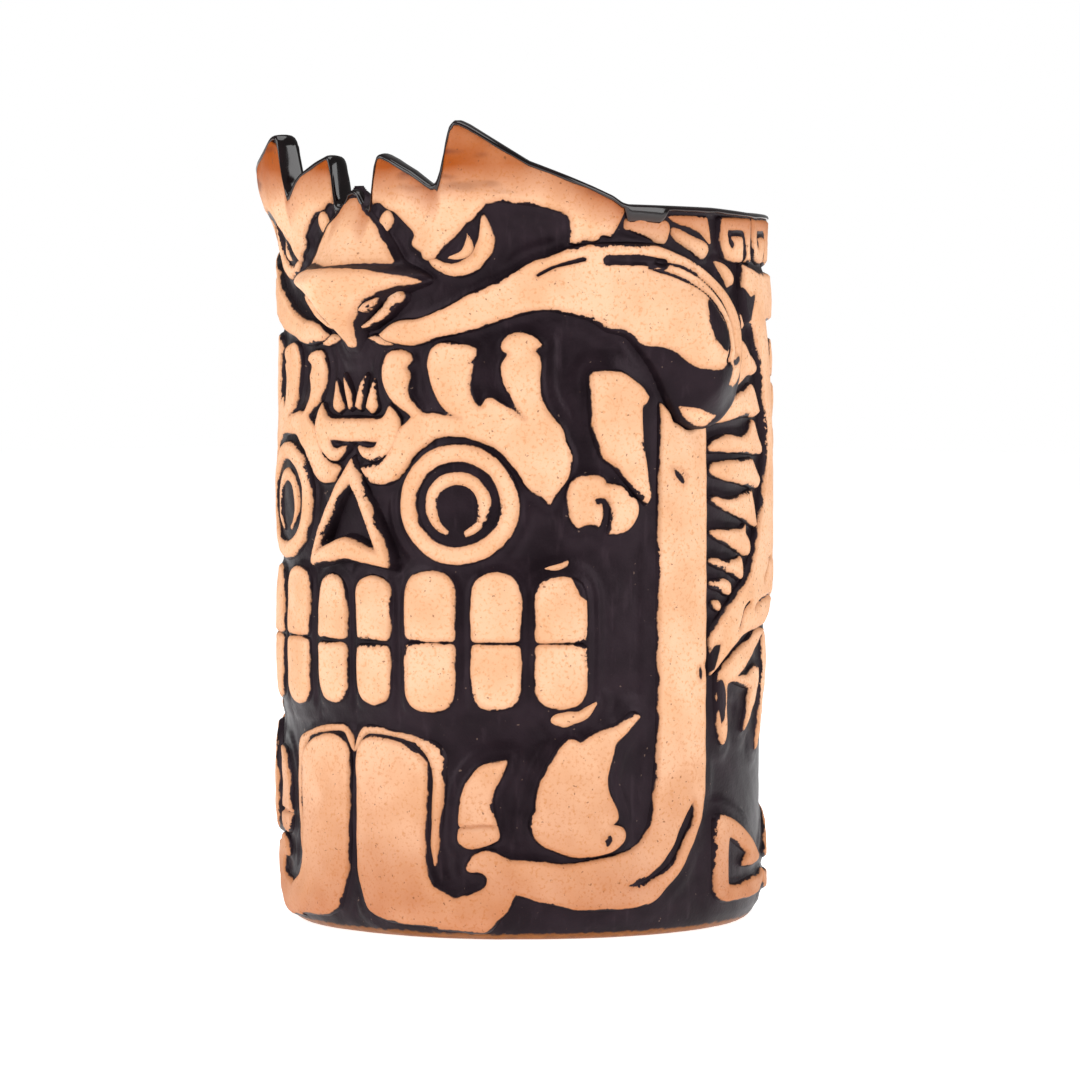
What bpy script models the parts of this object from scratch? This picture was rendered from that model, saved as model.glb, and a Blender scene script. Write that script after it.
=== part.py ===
"""Slip-cast stoneware tiki mug: a turned body with a crowned rim, a glaze liner and sprigged relief.

The relief is laid out on a flat pattern sheet. Its first number is the distance round the wall from the
front centre line, and its second is the height, both in millimetres. A third number, 1, marks a sharp corner.
Each relief piece is wrapped round the wall and seated on it with a thin luting gap.
"""
import math

import bmesh
import bpy
import numpy as np

MM = 0.001

# Driving dimensions, in millimetres.
MUG_HEIGHT = 144.2
WALL_RADIUS = 43.3
WALL_THICKNESS = 4.3
FLOOR_THICKNESS = 6.0
FOOT_ROUNDING = 3.5
INSIDE_ROUNDING = 5.0
LIP_ROUNDING = 0.8
FLARE = 5.6
RELIEF_HEIGHT = 1.5
SNOUT_REACH = 10.9
LIP_ROLL_SWELL = 2.8
GLAZE_THICKNESS = 0.6
LUTING_GAP = 0.3

# The pattern sheet that the relief outlines are drawn on.
SHEET_HEIGHT = 144.2
SHEET_RADIUS = 43.3
HALF_TURN = math.pi * SHEET_RADIUS

# The rim line of the crown: distance from the front centre line, and height.
RIM_LINE = (
    (0, 131.0), (3.5, 129.6), (5.2, 134.0), (7.0, 138.7), (10, 137.2), (13, 135.5), (16.8, 133.0),
    (18.3, 134.4), (21.5, 144.2), (25, 143.0), (30, 140.1), (35, 137.2), (40, 135.0), (45, 133.2),
    (50, 130.7), (52, 128.6), (140, 128.6),
)
RIM_KEYS = (3.5, 7.0, 18.3, 21.5)
# Share of the full flare at each height, and round the wall.
FLARE_BY_HEIGHT = ((118, 0.0), (124, 0.2), (130, 0.62), (137, 1.0), (146, 1.04))
FLARE_ROUND_WALL = (
    (0, 0.02), (8, 0.1), (14, 0.35), (21, 0.68), (28, 0.78), (40, 0.8), (50, 0.6), (62, 0.33), (75, 0.15), (140, 0.15),
)

TURNED_STEPS = 72
WRAP_STEP = 6.0
FINE_STEP = 3.5
CURVE_STEPS = 1

BUFF_CLAY = ("buff_stoneware", "E4B184", 0.62)
STAINED_CLAY = ("stained_stoneware", "342A30", 0.5)
BLACK_GLAZE = ("black_glaze", "140C0E", 0.08)

# Relief outlines of the mug's right-hand side; the left-hand side mirrors them.
HELMET_BROW = (
    (5.3, 130.2, 1), (7.5, 130.0), (10.5, 128.5), (13.5, 125.7), (14.2, 124.0), (13.9, 122.4, 1),
    (15.7, 120.9), (17.0, 120.2), (20, 122.5), (24, 126.4), (25.1, 127.3, 1), (27.2, 129.7, 1), (32, 130),
    (38, 129), (41, 127.2), (41.3, 122.7, 1), (43.5, 123.5), (46, 123.5), (49.2, 124.1, 1), (50.2, 126.5),
    (50.4, 129.0, 1), (45, 132.3), (40, 134.1), (35, 136.3), (30, 139.2), (25, 142.1), (21.9, 143.0, 1),
    (20.3, 139.5), (18.8, 134.3), (16.8, 132.2), (13.5, 134.4), (10, 136.3), (7.4, 137.5, 1), (6.0, 134.0),
)
HELMET_EYELID = (
    (17.4, 119.2, 1), (19.5, 117.8), (22.2, 117.2), (25.3, 118.2), (27.6, 120.8), (28.3, 123.5),
    (27.6, 126.2), (26.4, 127.7, 1), (25.9, 125.5), (25.6, 123.0), (24.2, 120.3), (21.5, 118.9),
)
SNOUT = (
    (0, 131.0, 1), (3.5, 127.0), (6.5, 123.5), (10, 119.6), (15, 116.9, 1), (13, 115.5), (9, 115.0),
    (6, 114.2), (3.4, 112.6), (1.5, 110.6), (0, 108.8, 1),
)
SNOUT_PROFILE = ((108.8, 0.1), (112, 0.35), (115, 0.8), (117.3, 1.0), (120, 0.85), (125, 0.42), (131, 0.0))
UPPER_LIP = (
    (7.2, 106.8, 1), (9.5, 108.7), (15, 109.4), (20, 111.4), (24, 113.6), (30, 116.6), (35, 119.4),
    (41.3, 121.5), (47, 122.0), (53, 122.3), (60, 121.4), (65, 119.8), (69, 117.5), (73, 113.8),
    (75.7, 110.0), (76.7, 105.0), (76.3, 101.5), (74.5, 98.8), (71.5, 98.0), (69, 99.8), (67, 100.8),
    (63.5, 101.7), (59, 104.0), (54.5, 105.4), (51.8, 107.4), (47, 108.7), (41, 110.8), (37, 111.4),
    (31, 110.1), (25, 108.0), (17, 106.1), (12, 105.4),
)
SKULL_BROW = (
    (3.3, 83.2, 1), (5, 83.6), (6.9, 84.1), (9.3, 85.7), (10.9, 88.2), (11.2, 90.3), (12.8, 91.6),
    (13.7, 92.5, 1), (11.5, 94), (9.4, 95.8), (8.0, 98.6), (7.8, 101.2), (9, 103.6), (11.2, 103.9),
    (13.3, 102.9), (12.4, 101.2), (12.8, 99.5), (12.7, 97.5), (14, 94.6), (15.6, 93.0), (19.5, 92.6),
    (22.4, 92.2, 1), (20, 93.8), (18.4, 95.6), (17.1, 98.5), (16.8, 101.8), (18.2, 104.9), (20.5, 105.4),
    (24.6, 104.2), (24.9, 103.0), (24.3, 101.6), (24.2, 98), (25.4, 94.4), (27.3, 95.5), (30.3, 94.3),
    (33.5, 92.2, 1), (31.8, 95), (30.4, 98), (29.8, 101.2), (30.8, 103.3), (29.9, 104.9), (31.6, 106.7),
    (34.8, 106.5), (36.3, 105.5), (35.1, 104.0), (36.1, 102.4), (36.1, 98), (37, 94.2), (39.4, 91),
    (40.7, 88), (41.6, 85.4), (41, 82), (39.2, 79.4), (37.8, 77.2, 1), (36.3, 78.8), (33.8, 80.6),
    (31.6, 84.2), (28.5, 87.3), (25, 88.8), (21, 89.2), (17, 88.6), (14.3, 86), (12, 83), (9.4, 80.9),
    (6.8, 80.6), (4.5, 82.0),
)
EAR_CURL = (
    (41.0, 77.5), (41.1, 79.3), (42.3, 81.5), (44.5, 81.9), (47.0, 81.4), (47.6, 80.4, 1), (50, 80.2),
    (52, 78.7), (53.6, 76.4), (53.2, 74.2), (51, 72.2), (48.5, 72.0, 1), (48.8, 74.8), (48.7, 76.8),
    (47.5, 78.2), (45.4, 78.1, 1), (46.7, 76.8), (47.1, 75.0), (46.4, 73.3, 1), (44.6, 73.9),
    (42.7, 73.1, 1), (41.6, 75.0),
)
UPPER_FANG = (
    (45, 97), (45.2, 100.0, 1), (48, 100.3), (50.6, 99.9), (53, 98.3), (55.2, 95.8, 1), (54.2, 94.5),
    (53.8, 92), (54.1, 87), (54.8, 83.5), (55.5, 80.5), (56, 78.4), (55.3, 77.2, 1), (53, 79.2),
    (50.5, 82.3), (48.5, 84.3), (46.7, 86.3), (45.5, 90), (45.0, 94),
)
TONGUE = (
    (2, 33), (1.8, 25), (2, 15), (2.5, 10.5), (4.2, 5.6), (8.5, 3.2), (15, 2.8), (19.2, 2.7, 1),
    (19.2, 8.1, 1), (16.9, 10.7), (16.1, 13), (16, 22), (16.2, 30.7), (14.6, 33), (11, 34.7),
    (7, 35.4), (3.4, 34.8),
)
SMALL_FANG = (
    (22.3, 21.5), (22.6, 25), (24, 28.5), (26, 30.9), (30.4, 31.8, 1), (28.8, 28), (27.9, 24),
    (28.4, 21), (28.9, 19.2), (28.8, 17.9), (25.5, 16.8), (22.6, 17.2), (22.2, 19),
)
BIG_FANG = (
    (35.6, 23), (36, 26.5), (37.5, 30.3), (39.5, 33.8), (41.8, 35.6), (43, 35.1, 1), (46, 36.6), (50, 38),
    (53, 39.8), (54, 39.4, 1), (52, 37.3), (49.4, 34.8), (48.3, 31.5), (47.8, 28), (49.5, 22.8),
    (49.3, 21.2), (48.4, 20.6, 1), (50.6, 19.8), (50.9, 17.8), (49.2, 16.1), (46, 15.3), (41.5, 15.4),
    (38, 16.7), (35.6, 18.4), (34.8, 20.6), (35, 22),
)
JAW_BAND = (
    (58.4, 94.3, 1), (61, 91.3), (65, 89.7), (68.6, 91.5, 1), (68.8, 60), (68.6, 30), (68.4, 25),
    (67.4, 20.5), (64.5, 14.5), (61, 10.3), (57, 6.9), (50, 5.7), (42, 6), (36, 7.4), (32, 8.5, 1),
    (30.5, 5.8), (28.2, 2.6), (26.5, 1.7), (19.8, 2.0, 1), (19.8, 7.4, 1), (22.7, 7.8), (26, 8.9),
    (27.2, 10.6), (26.3, 12.2), (23.9, 12.5, 1), (24.6, 14.9), (27, 16), (30, 15.2), (32.5, 14.4),
    (41, 13.4), (50, 15), (54, 16.7), (56.8, 22), (57.6, 30), (58, 35), (58.2, 60),
)
JAW_SLOT = ((52.5, 9.7, 1), (57.5, 11.3), (62.5, 15.8), (65.7, 23.6, 1), (62.2, 18.6), (57.5, 13.0))
FEATHERS = (
    ((78.2, 105.8, 1), (80.8, 105.2), (84, 103.3), (87.2, 101.1, 1), (86.6, 100.1), (82, 99.3), (77.8, 97.9, 1)),
    ((71.0, 91.2, 1), (76, 95.4), (81, 97), (84.4, 97.8, 1), (87, 95.2), (89.2, 92.9, 1), (82, 92.4), (76, 91.8)),
    ((69.5, 86.6), (72, 88.2), (76, 88.7), (80, 88.4), (83, 89.2), (85.8, 91.1, 1), (88, 88.8),
     (90.0, 86.1, 1), (87, 85.5), (80, 85.9), (72, 86.2)),
    ((69.7, 82.5), (72, 83.8), (78, 84.2), (84.8, 84.4, 1), (87.4, 82.0), (88.8, 80.3, 1), (86.8, 79.3),
     (80, 80.3), (73, 81.4)),
    ((70.2, 77.3), (74, 77.4), (80, 77.8), (84.4, 78.6, 1), (86.0, 75.6), (86.9, 72.9, 1), (81, 74.2),
     (75, 75.8)),
)
FEATHER_BAND = (
    (80.8, 119.0, 1), (80.6, 114.6), (82.4, 109.6), (85.5, 107.6), (88.3, 102.5), (89.8, 97), (91.3, 92),
    (91.6, 86), (90.6, 80), (88.6, 73.5), (86.2, 69.5), (82.5, 64.0), (79, 61), (75, 58.0), (71.4, 55),
    (69.6, 52.4), (69.9, 46.6, 1), (75, 50.2), (80, 53.0), (86, 53.8), (92, 55.5), (98, 60), (101, 70),
    (102, 82), (100.5, 93), (98, 101), (95.5, 105.5), (93.5, 109.0, 1), (100, 107.4), (110, 107.6),
    (120, 110.5), (123, 114.0), (118, 117.2), (106, 117.6), (92, 118.2),
)
SPIRAL = (
    (71.6, 19.8, 1), (73.4, 20.9), (80, 18.6), (85.5, 15.2), (89.0, 12.2, 1), (87.5, 11.4), (81.2, 11.4, 1),
    (83.4, 13.4, 1), (78.5, 15.7), (75.9, 16.7), (75.3, 13), (75.3, 10), (76.4, 7.9), (80, 8.0), (86, 8.5),
    (91.6, 9.2, 1), (90.6, 7.2), (86, 5.6), (75, 5.4), (72.2, 6.1), (71.7, 8),
)
NOSE_OUTER = ((0, 84.7, 1), (3.0, 80.2), (6.2, 73.6), (8.8, 66.2, 1), (5, 66.7), (0, 67.2))
NOSE_HOLE = ((0, 80.9, 1), (3.2, 76.0), (6.6, 68.4, 1), (3.5, 69.4), (0, 70.6))
NOSE_BAR = (
    (0, 91.8), (6.6, 92.0), (8.3, 94.2, 1), (9.6, 92.6), (10.4, 90.2), (9.9, 88.2), (8.1, 86.4), (6, 85.0),
    (4.2, 84.7), (2.4, 85.6), (1.5, 87, 1), (2.8, 86.7), (4, 86.4), (5.2, 86.9), (5.9, 88.1, 1), (0, 88.1),
)
# Teeth of one side: centre from the middle of the bite, width, bottom and top of the upper and lower tooth.
TEETH = ((5.1, 7.3, 53.0, 64.1, 41.4, 51.8), (16.0, 9.3, 53.1, 64.9, 40.7, 52.3),
         (27.6, 8.1, 53.0, 64.8, 41.1, 52.3), (39.1, 8.6, 53.0, 64.1, 41.4, 52.2))
BITE_CENTRE = 1.0
EYE_CENTRE = (22.1, 77.0)
EYE_AXIS = 0.5
EYE_RING = (10.35, 7.7)
IRIS_RING = (5.6, 3.8)
IRIS_OPENING = 0.5

# The block band round the back of the rim.
BAND_START = 53.0
FRET_START = 72.6
FRET_BLOCKS = 11
BAND_TOP = 127.6
BAND_FOOT = 120.2
SEAM_WIDTH = 1.5
SEAM_TOP = 126.2


def srgb_to_linear(code):
    """A hex colour as linear red, green, blue and alpha."""
    shares = [int(code[i:i + 2], 16) / 255 for i in (0, 2, 4)]
    linear = [s / 12.92 if s <= 0.04045 else ((s + 0.055) / 1.055) ** 2.4 for s in shares]
    return (*linear, 1.0)


def finish(name, colour, roughness):
    """A fired-clay or glaze finish, made once and shared by the pieces that have it."""
    material = bpy.data.materials.get(name) or bpy.data.materials.new(name)
    material.use_nodes = True
    shader = material.node_tree.nodes["Principled BSDF"]
    shader.inputs["Base Color"].default_value = srgb_to_linear(colour)
    shader.inputs["Roughness"].default_value = roughness
    shader.inputs["Metallic"].default_value = 0.0
    return material


def height(sheet_height):
    """Real height, in millimetres, of a height on the pattern sheet."""
    return sheet_height * MUG_HEIGHT / SHEET_HEIGHT


def from_front(along):
    """Distance round the sheet from the front centre line, on either side."""
    return abs((along + HALF_TURN) % (2 * HALF_TURN) - HALF_TURN)


def rim_height(along):
    return float(np.interp(from_front(along), *zip(*RIM_LINE)))


def flare(along, sheet_height):
    """How far the wall leans out at a place on the sheet."""
    by_height = np.interp(sheet_height, *zip(*FLARE_BY_HEIGHT))
    return float(FLARE * by_height * np.interp(from_front(along), *zip(*FLARE_ROUND_WALL)))


def on_wall(along, sheet_height, lift):
    """World position of a point of the sheet, lifted off the bare wall."""
    turn = along / SHEET_RADIUS
    radius = WALL_RADIUS + flare(along, sheet_height) + lift
    return (radius * math.sin(turn) * MM, -radius * math.cos(turn) * MM, height(sheet_height) * MM)


def collection(name):
    made = bpy.data.collections.new(name)
    bpy.context.scene.collection.children.link(made)
    return made


def node(name, mesh, look, parts):
    """A named piece of the mug, with its finish."""
    mesh.materials.clear()
    mesh.materials.append(finish(*look))
    piece = bpy.data.objects.new(name, mesh)
    parts.objects.link(piece)
    return piece


def rounded_corner(centre_x, centre_z, radius, start, end, steps=3):
    """Points of an arc in the profile plane, with its angles in degrees."""
    angles = [math.radians(start + (end - start) * i / steps) for i in range(steps + 1)]
    return [(centre_x + radius * math.cos(a), centre_z + radius * math.sin(a)) for a in angles]


def cup_profile(inner_radius, floor_top, outer_radius, bottom, inner_round, outer_round, lip_drop):
    """Profile of an open cup, from the inside of its floor, over the lip and down to its underside."""
    levels = [level for level, _ in FLARE_BY_HEIGHT[:-1]]
    inside = rounded_corner(inner_radius - inner_round, floor_top + inner_round, inner_round, -90, 0)
    inside += [(inner_radius, level) for level in levels]
    inside += [(inner_radius, SHEET_HEIGHT - lip_drop), ((inner_radius + outer_radius) / 2, SHEET_HEIGHT)]
    outside = [(outer_radius, SHEET_HEIGHT - lip_drop)]
    outside += [(outer_radius, level) for level in reversed(levels)]
    outside += rounded_corner(outer_radius - outer_round, bottom + outer_round, outer_round, 0, -90)
    return [(0.0, floor_top)] + inside + outside + [(0.0, bottom)]


def turned_mesh(name, profile):
    """A turned solid from an open profile that starts and ends on the axis."""
    mesh = bpy.data.meshes.new(name)
    points = [(x * MM, 0.0, z * MM) for x, z in profile]
    mesh.from_pydata(points, [(i, i + 1) for i in range(len(points) - 1)], [])
    blank = bpy.data.objects.new(name + "_blank", mesh)
    bpy.context.scene.collection.objects.link(blank)
    screw = blank.modifiers.new("turn", "SCREW")
    screw.steps = screw.render_steps = TURNED_STEPS
    screw.use_merge_vertices = True
    screw.merge_threshold = 0.00001
    screw.use_smooth_shade = False
    graph = bpy.context.evaluated_depsgraph_get()
    turned = bpy.data.meshes.new_from_object(blank.evaluated_get(graph))
    bpy.data.objects.remove(blank)
    return turned


def shape_crown(mesh, lip_drop):
    """Trims the straight wall to the rim line and leans it out as the flare says."""
    half_step = HALF_TURN / TURNED_STEPS
    for vertex in mesh.vertices:
        x, y, z = (value / MM for value in vertex.co)
        radius = math.hypot(x, y)
        if radius < 1:
            vertex.co.z = height(z) * MM
            continue
        along = math.atan2(x, -y) * SHEET_RADIUS
        for key in RIM_KEYS:
            if abs(abs(along) - key) < half_step:
                along = math.copysign(key, along)
        rim = rim_height(along)
        top_drop = SHEET_HEIGHT - z
        sheet_z = rim - top_drop if top_drop <= lip_drop + 0.001 else min(z, rim - lip_drop)
        radius += flare(along, sheet_z)
        turn = along / SHEET_RADIUS
        vertex.co = (radius * math.sin(turn) * MM, -radius * math.cos(turn) * MM, height(sheet_z) * MM)


def face_outwards(bm):
    """Makes the faces agree with each other, and then point out of the solid."""
    bmesh.ops.recalc_face_normals(bm, faces=bm.faces)
    if bm.calc_volume(signed=True) < 0:
        bmesh.ops.reverse_faces(bm, faces=bm.faces)


def close_up(bm):
    """Merges doubled points, drops collapsed faces and turns every face outwards."""
    bmesh.ops.remove_doubles(bm, verts=bm.verts, dist=0.00001)
    bmesh.ops.dissolve_degenerate(bm, edges=bm.edges, dist=0.000005)
    bmesh.ops.triangulate(bm, faces=bm.faces)
    face_outwards(bm)


def cup_node(name, profile, lip_drop, look, parts):
    mesh = turned_mesh(name, profile)
    shape_crown(mesh, lip_drop)
    bm = bmesh.new()
    bm.from_mesh(mesh)
    close_up(bm)
    bm.to_mesh(mesh)
    bm.free()
    return node(name, mesh, look, parts)


def add_outline(curve, outline):
    """One closed spline of a flat curve, smooth except at the marked corners."""
    spline = curve.splines.new("BEZIER")
    spline.bezier_points.add(len(outline) - 1)
    spline.use_cyclic_u = True
    for point, place in zip(spline.bezier_points, outline):
        point.co = (place[0] * MM, place[1] * MM, 0)
        kind = "VECTOR" if len(place) == 3 else "AUTO"
        point.handle_left_type = point.handle_right_type = kind


def flat_sheet(name, outlines):
    """A flat slab of clay cut to its outlines, as an editable mesh."""
    curve = bpy.data.curves.new(name + "_outline", "CURVE")
    curve.dimensions = "2D"
    curve.fill_mode = "BOTH"
    curve.extrude = MM / 2
    curve.resolution_u = CURVE_STEPS
    for outline in outlines:
        add_outline(curve, outline)
    slab = bpy.data.objects.new(curve.name, curve)
    bpy.context.scene.collection.objects.link(slab)
    graph = bpy.context.evaluated_depsgraph_get()
    mesh = bpy.data.meshes.new_from_object(slab.evaluated_get(graph))
    bpy.data.objects.remove(slab)
    bm = bmesh.new()
    bm.from_mesh(mesh)
    bmesh.ops.remove_doubles(bm, verts=bm.verts, dist=0.00001)
    return bm, mesh


def join_caps(bm):
    """Joins the triangles of each flat face of a slab into one face, so that scoring cuts it cleanly."""
    for side in (1, -1):
        flat = [face for face in bm.faces if face.normal.z * side > 0.9]
        bmesh.ops.dissolve_faces(bm, faces=flat)


def score(bm, axis, start, stop, step):
    """Cuts a slab along evenly spaced lines, so that it can bend there."""
    normal = [0, 0, 0]
    normal[axis] = 1
    place = math.ceil((start + 0.5) / step) * step
    while place < stop - 0.5:
        centre = [0, 0, 0]
        centre[axis] = place * MM
        geometry = bm.verts[:] + bm.edges[:] + bm.faces[:]
        bmesh.ops.bisect_plane(bm, geom=geometry, dist=0.1 * MM, plane_co=centre, plane_no=normal)
        place += step


def score_flare(bm, start, stop):
    """Cuts a slab at each height where the wall's lean changes."""
    for level, _ in FLARE_BY_HEIGHT:
        if start + 0.3 < level < stop - 0.3:
            geometry = bm.verts[:] + bm.edges[:] + bm.faces[:]
            place = (0, level * MM, 0)
            bmesh.ops.bisect_plane(bm, geom=geometry, dist=0.1 * MM, plane_co=place, plane_no=(0, 1, 0))


def relief(name, outlines, look, parts, lift=None, step=WRAP_STEP, rows=None):
    """One sprigged ornament: a slab cut to its outlines, scored, and wrapped onto the wall."""
    bm, mesh = flat_sheet(name, outlines)
    if len(outlines) == 1:
        join_caps(bm)
    along = [place[0] for place in outlines[0]]
    heights = [place[1] for place in outlines[0]]
    score(bm, 0, min(along), max(along), step)
    score_flare(bm, min(heights), max(heights))
    if rows:
        score(bm, 1, min(heights), max(heights), rows)
    bmesh.ops.triangulate(bm, faces=bm.faces)
    for vertex in bm.verts:
        u, z = vertex.co.x / MM, vertex.co.y / MM
        outer = vertex.co.z > 0
        proud = (lift(u, z) if lift else RELIEF_HEIGHT) if outer else 0.0
        vertex.co = on_wall(u, z, LUTING_GAP + proud)
    face_outwards(bm)
    bm.to_mesh(mesh)
    bm.free()
    return node(name, mesh, look, parts)


def mirrored(outline, axis=0.0):
    """The same outline on the other side of a vertical line on the sheet."""
    return tuple((2 * axis - place[0], *place[1:]) for place in outline)


def both_sides(outline):
    """A whole outline from the half on one side, whose ends lie on the centre line."""
    other = [place for place in reversed(mirrored(outline)) if place[0] != 0]
    return tuple(outline) + tuple(other)


def pair(name, outlines, look, parts, axis=0.0, **settings):
    """A right-hand ornament and its mirror image."""
    relief(name + "_right", outlines, look, parts, **settings)
    relief(name + "_left", [mirrored(outline, axis) for outline in outlines], look, parts, **settings)


def circle(centre, radius, count=20):
    turns = [2 * math.pi * i / count for i in range(count)]
    return tuple((centre[0] + radius * math.cos(t), centre[1] + radius * math.sin(t)) for t in turns)


def open_ring(centre, outer, inner, opening, count=12):
    """A C-shaped outline, open at the bottom."""
    first, last = -math.pi / 2 + opening, 1.5 * math.pi - opening
    turns = [first + (last - first) * i / count for i in range(count + 1)]
    rim = [(centre[0] + outer * math.cos(t), centre[1] + outer * math.sin(t)) for t in turns]
    bore = [(centre[0] + inner * math.cos(t), centre[1] + inner * math.sin(t)) for t in reversed(turns)]
    for ends in (rim, bore):
        ends[0] += (1,)
        ends[-1] += (1,)
    return tuple(rim + bore)


def tooth(centre, width, bottom, top, rounded_top):
    """A tooth's outline, square at the bite and rounded at its root."""
    left, right = centre - width / 2, centre + width / 2
    bite, root, out = (bottom, top, 1) if rounded_top else (top, bottom, -1)
    corner = 2.6
    return (
        (left + 0.8, bite, 1), (left, bite + 0.8 * out), (left - 0.1, (bite + root) / 2),
        (left + 0.3, root - corner * out), (left + corner, root - 0.4 * out), (centre, root),
        (right - corner, root - 0.4 * out), (right - 0.3, root - corner * out),
        (right + 0.1, (bite + root) / 2), (right, bite + 0.8 * out), (right - 0.8, bite, 1),
    )


def snout_lift(u, z):
    """The snout stands furthest out along its ridge and falls to the relief height at its edges."""
    edge = SNOUT[:5] if z > SNOUT[4][1] else SNOUT[4:]
    heights, widths = zip(*sorted((place[1], place[0]) for place in edge))
    half_width = max(float(np.interp(z, heights, widths)), 0.5)
    across = max(0.0, 1 - min(abs(u) / half_width, 1.0) ** 1.5)
    return RELIEF_HEIGHT + SNOUT_REACH * float(np.interp(z, *zip(*SNOUT_PROFILE))) * across


def roll_lift(u, z):
    """The upper lip swells where it curls back at the corner of the mouth."""
    share = min(max((from_front(u) - 50) / 14, 0.0), 1.0)
    return RELIEF_HEIGHT + LIP_ROLL_SWELL * share * share * (3 - 2 * share)


def block_band():
    """Outline of the band of blocks round the back of the rim, with a groove between blocks."""
    far_end = 2 * HALF_TURN - BAND_START
    pitch = (2 * HALF_TURN - 2 * FRET_START) / FRET_BLOCKS
    outline = [(BAND_START, BAND_TOP, 1), (BAND_START, 124.4, 1), (60, 123.4), (66, 121.9)]
    for i in range(FRET_BLOCKS + 1):
        seam = FRET_START + i * pitch - SEAM_WIDTH / 2
        outline += [(seam, BAND_FOOT, 1), (seam, SEAM_TOP, 1)]
        outline += [(seam + SEAM_WIDTH, SEAM_TOP, 1), (seam + SEAM_WIDTH, BAND_FOOT, 1)]
    outline += [(2 * HALF_TURN - 66, 121.9), (2 * HALF_TURN - 60, 123.4)]
    outline += [(far_end, 124.4, 1), (far_end, BAND_TOP, 1)]
    return tuple(outline)


def make_cups(parts):
    inner_radius = WALL_RADIUS - WALL_THICKNESS
    body = cup_profile(inner_radius, FLOOR_THICKNESS, WALL_RADIUS, 0.0, INSIDE_ROUNDING, FOOT_ROUNDING,
                       LIP_ROUNDING)
    cup_node("cast_body", body, LIP_ROUNDING, STAINED_CLAY, parts)
    glaze_outer = inner_radius - LUTING_GAP
    glaze_inner = glaze_outer - GLAZE_THICKNESS
    glaze_floor = FLOOR_THICKNESS + LUTING_GAP
    liner = cup_profile(glaze_inner, glaze_floor + GLAZE_THICKNESS, glaze_outer, glaze_floor,
                        INSIDE_ROUNDING - GLAZE_THICKNESS, INSIDE_ROUNDING, GLAZE_THICKNESS / 2)
    cup_node("glaze_liner", liner, GLAZE_THICKNESS / 2, BLACK_GLAZE, parts)


def make_helmet(parts):
    relief("snout", [both_sides(SNOUT)], BUFF_CLAY, parts, lift=snout_lift, step=FINE_STEP, rows=FINE_STEP)
    pair("helmet_brow", [HELMET_BROW], BUFF_CLAY, parts, step=FINE_STEP)
    pair("helmet_eyelid", [HELMET_EYELID], BUFF_CLAY, parts)
    pair("upper_lip", [UPPER_LIP], BUFF_CLAY, parts, lift=roll_lift)
    relief("rim_block_band", [block_band()], BUFF_CLAY, parts)


def make_skull(parts):
    relief("nose_bar", [both_sides(NOSE_BAR)], BUFF_CLAY, parts)
    relief("nose_triangle", [both_sides(NOSE_OUTER), both_sides(NOSE_HOLE)], BUFF_CLAY, parts)
    pair("skull_brow", [SKULL_BROW], BUFF_CLAY, parts)
    eye = [circle(EYE_CENTRE, EYE_RING[0]), circle(EYE_CENTRE, EYE_RING[1])]
    pair("eye_ring", eye, BUFF_CLAY, parts, axis=EYE_AXIS)
    iris = [open_ring(EYE_CENTRE, *IRIS_RING, IRIS_OPENING)]
    pair("iris_ring", iris, BUFF_CLAY, parts, axis=EYE_AXIS)
    pair("ear_curl", [EAR_CURL], BUFF_CLAY, parts)
    for number, (centre, width, upper_low, upper_high, lower_low, lower_high) in enumerate(TEETH, 1):
        place = BITE_CENTRE + centre
        upper = [tooth(place, width, upper_low, upper_high, True)]
        lower = [tooth(place, width, lower_low, lower_high, False)]
        pair(f"upper_tooth_{number}", upper, BUFF_CLAY, parts, axis=BITE_CENTRE)
        pair(f"lower_tooth_{number}", lower, BUFF_CLAY, parts, axis=BITE_CENTRE)


def make_jaws(parts):
    pair("upper_fang", [UPPER_FANG], BUFF_CLAY, parts)
    pair("tongue", [TONGUE], BUFF_CLAY, parts)
    pair("small_fang", [SMALL_FANG], BUFF_CLAY, parts)
    pair("big_fang", [BIG_FANG], BUFF_CLAY, parts)
    pair("jaw_band", [JAW_BAND, JAW_SLOT], BUFF_CLAY, parts)


def make_wings(parts):
    for number, feather in enumerate(FEATHERS, 1):
        pair(f"feather_{number}", [feather], BUFF_CLAY, parts)
    pair("feather_band", [FEATHER_BAND], BUFF_CLAY, parts)
    pair("triangle_spiral", [SPIRAL], BUFF_CLAY, parts)


def main():
    for leftover in list(bpy.data.objects):
        bpy.data.objects.remove(leftover)
    parts = collection("tiki_mug")
    make_cups(parts)
    make_helmet(parts)
    make_skull(parts)
    make_jaws(parts)
    make_wings(parts)


main()
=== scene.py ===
# %% [markdown]
# # A stoneware tiki mug
# The real mug is slip cast: liquid clay sets against a plaster mould, the seams are fettled, and the piece
# is fired. A dark stain is brushed over the relief and wiped off the high places, so that it stays in the
# hollows, and a glossy glaze is poured inside and over the lip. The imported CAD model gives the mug's size
# and place.

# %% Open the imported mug
import math

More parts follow.
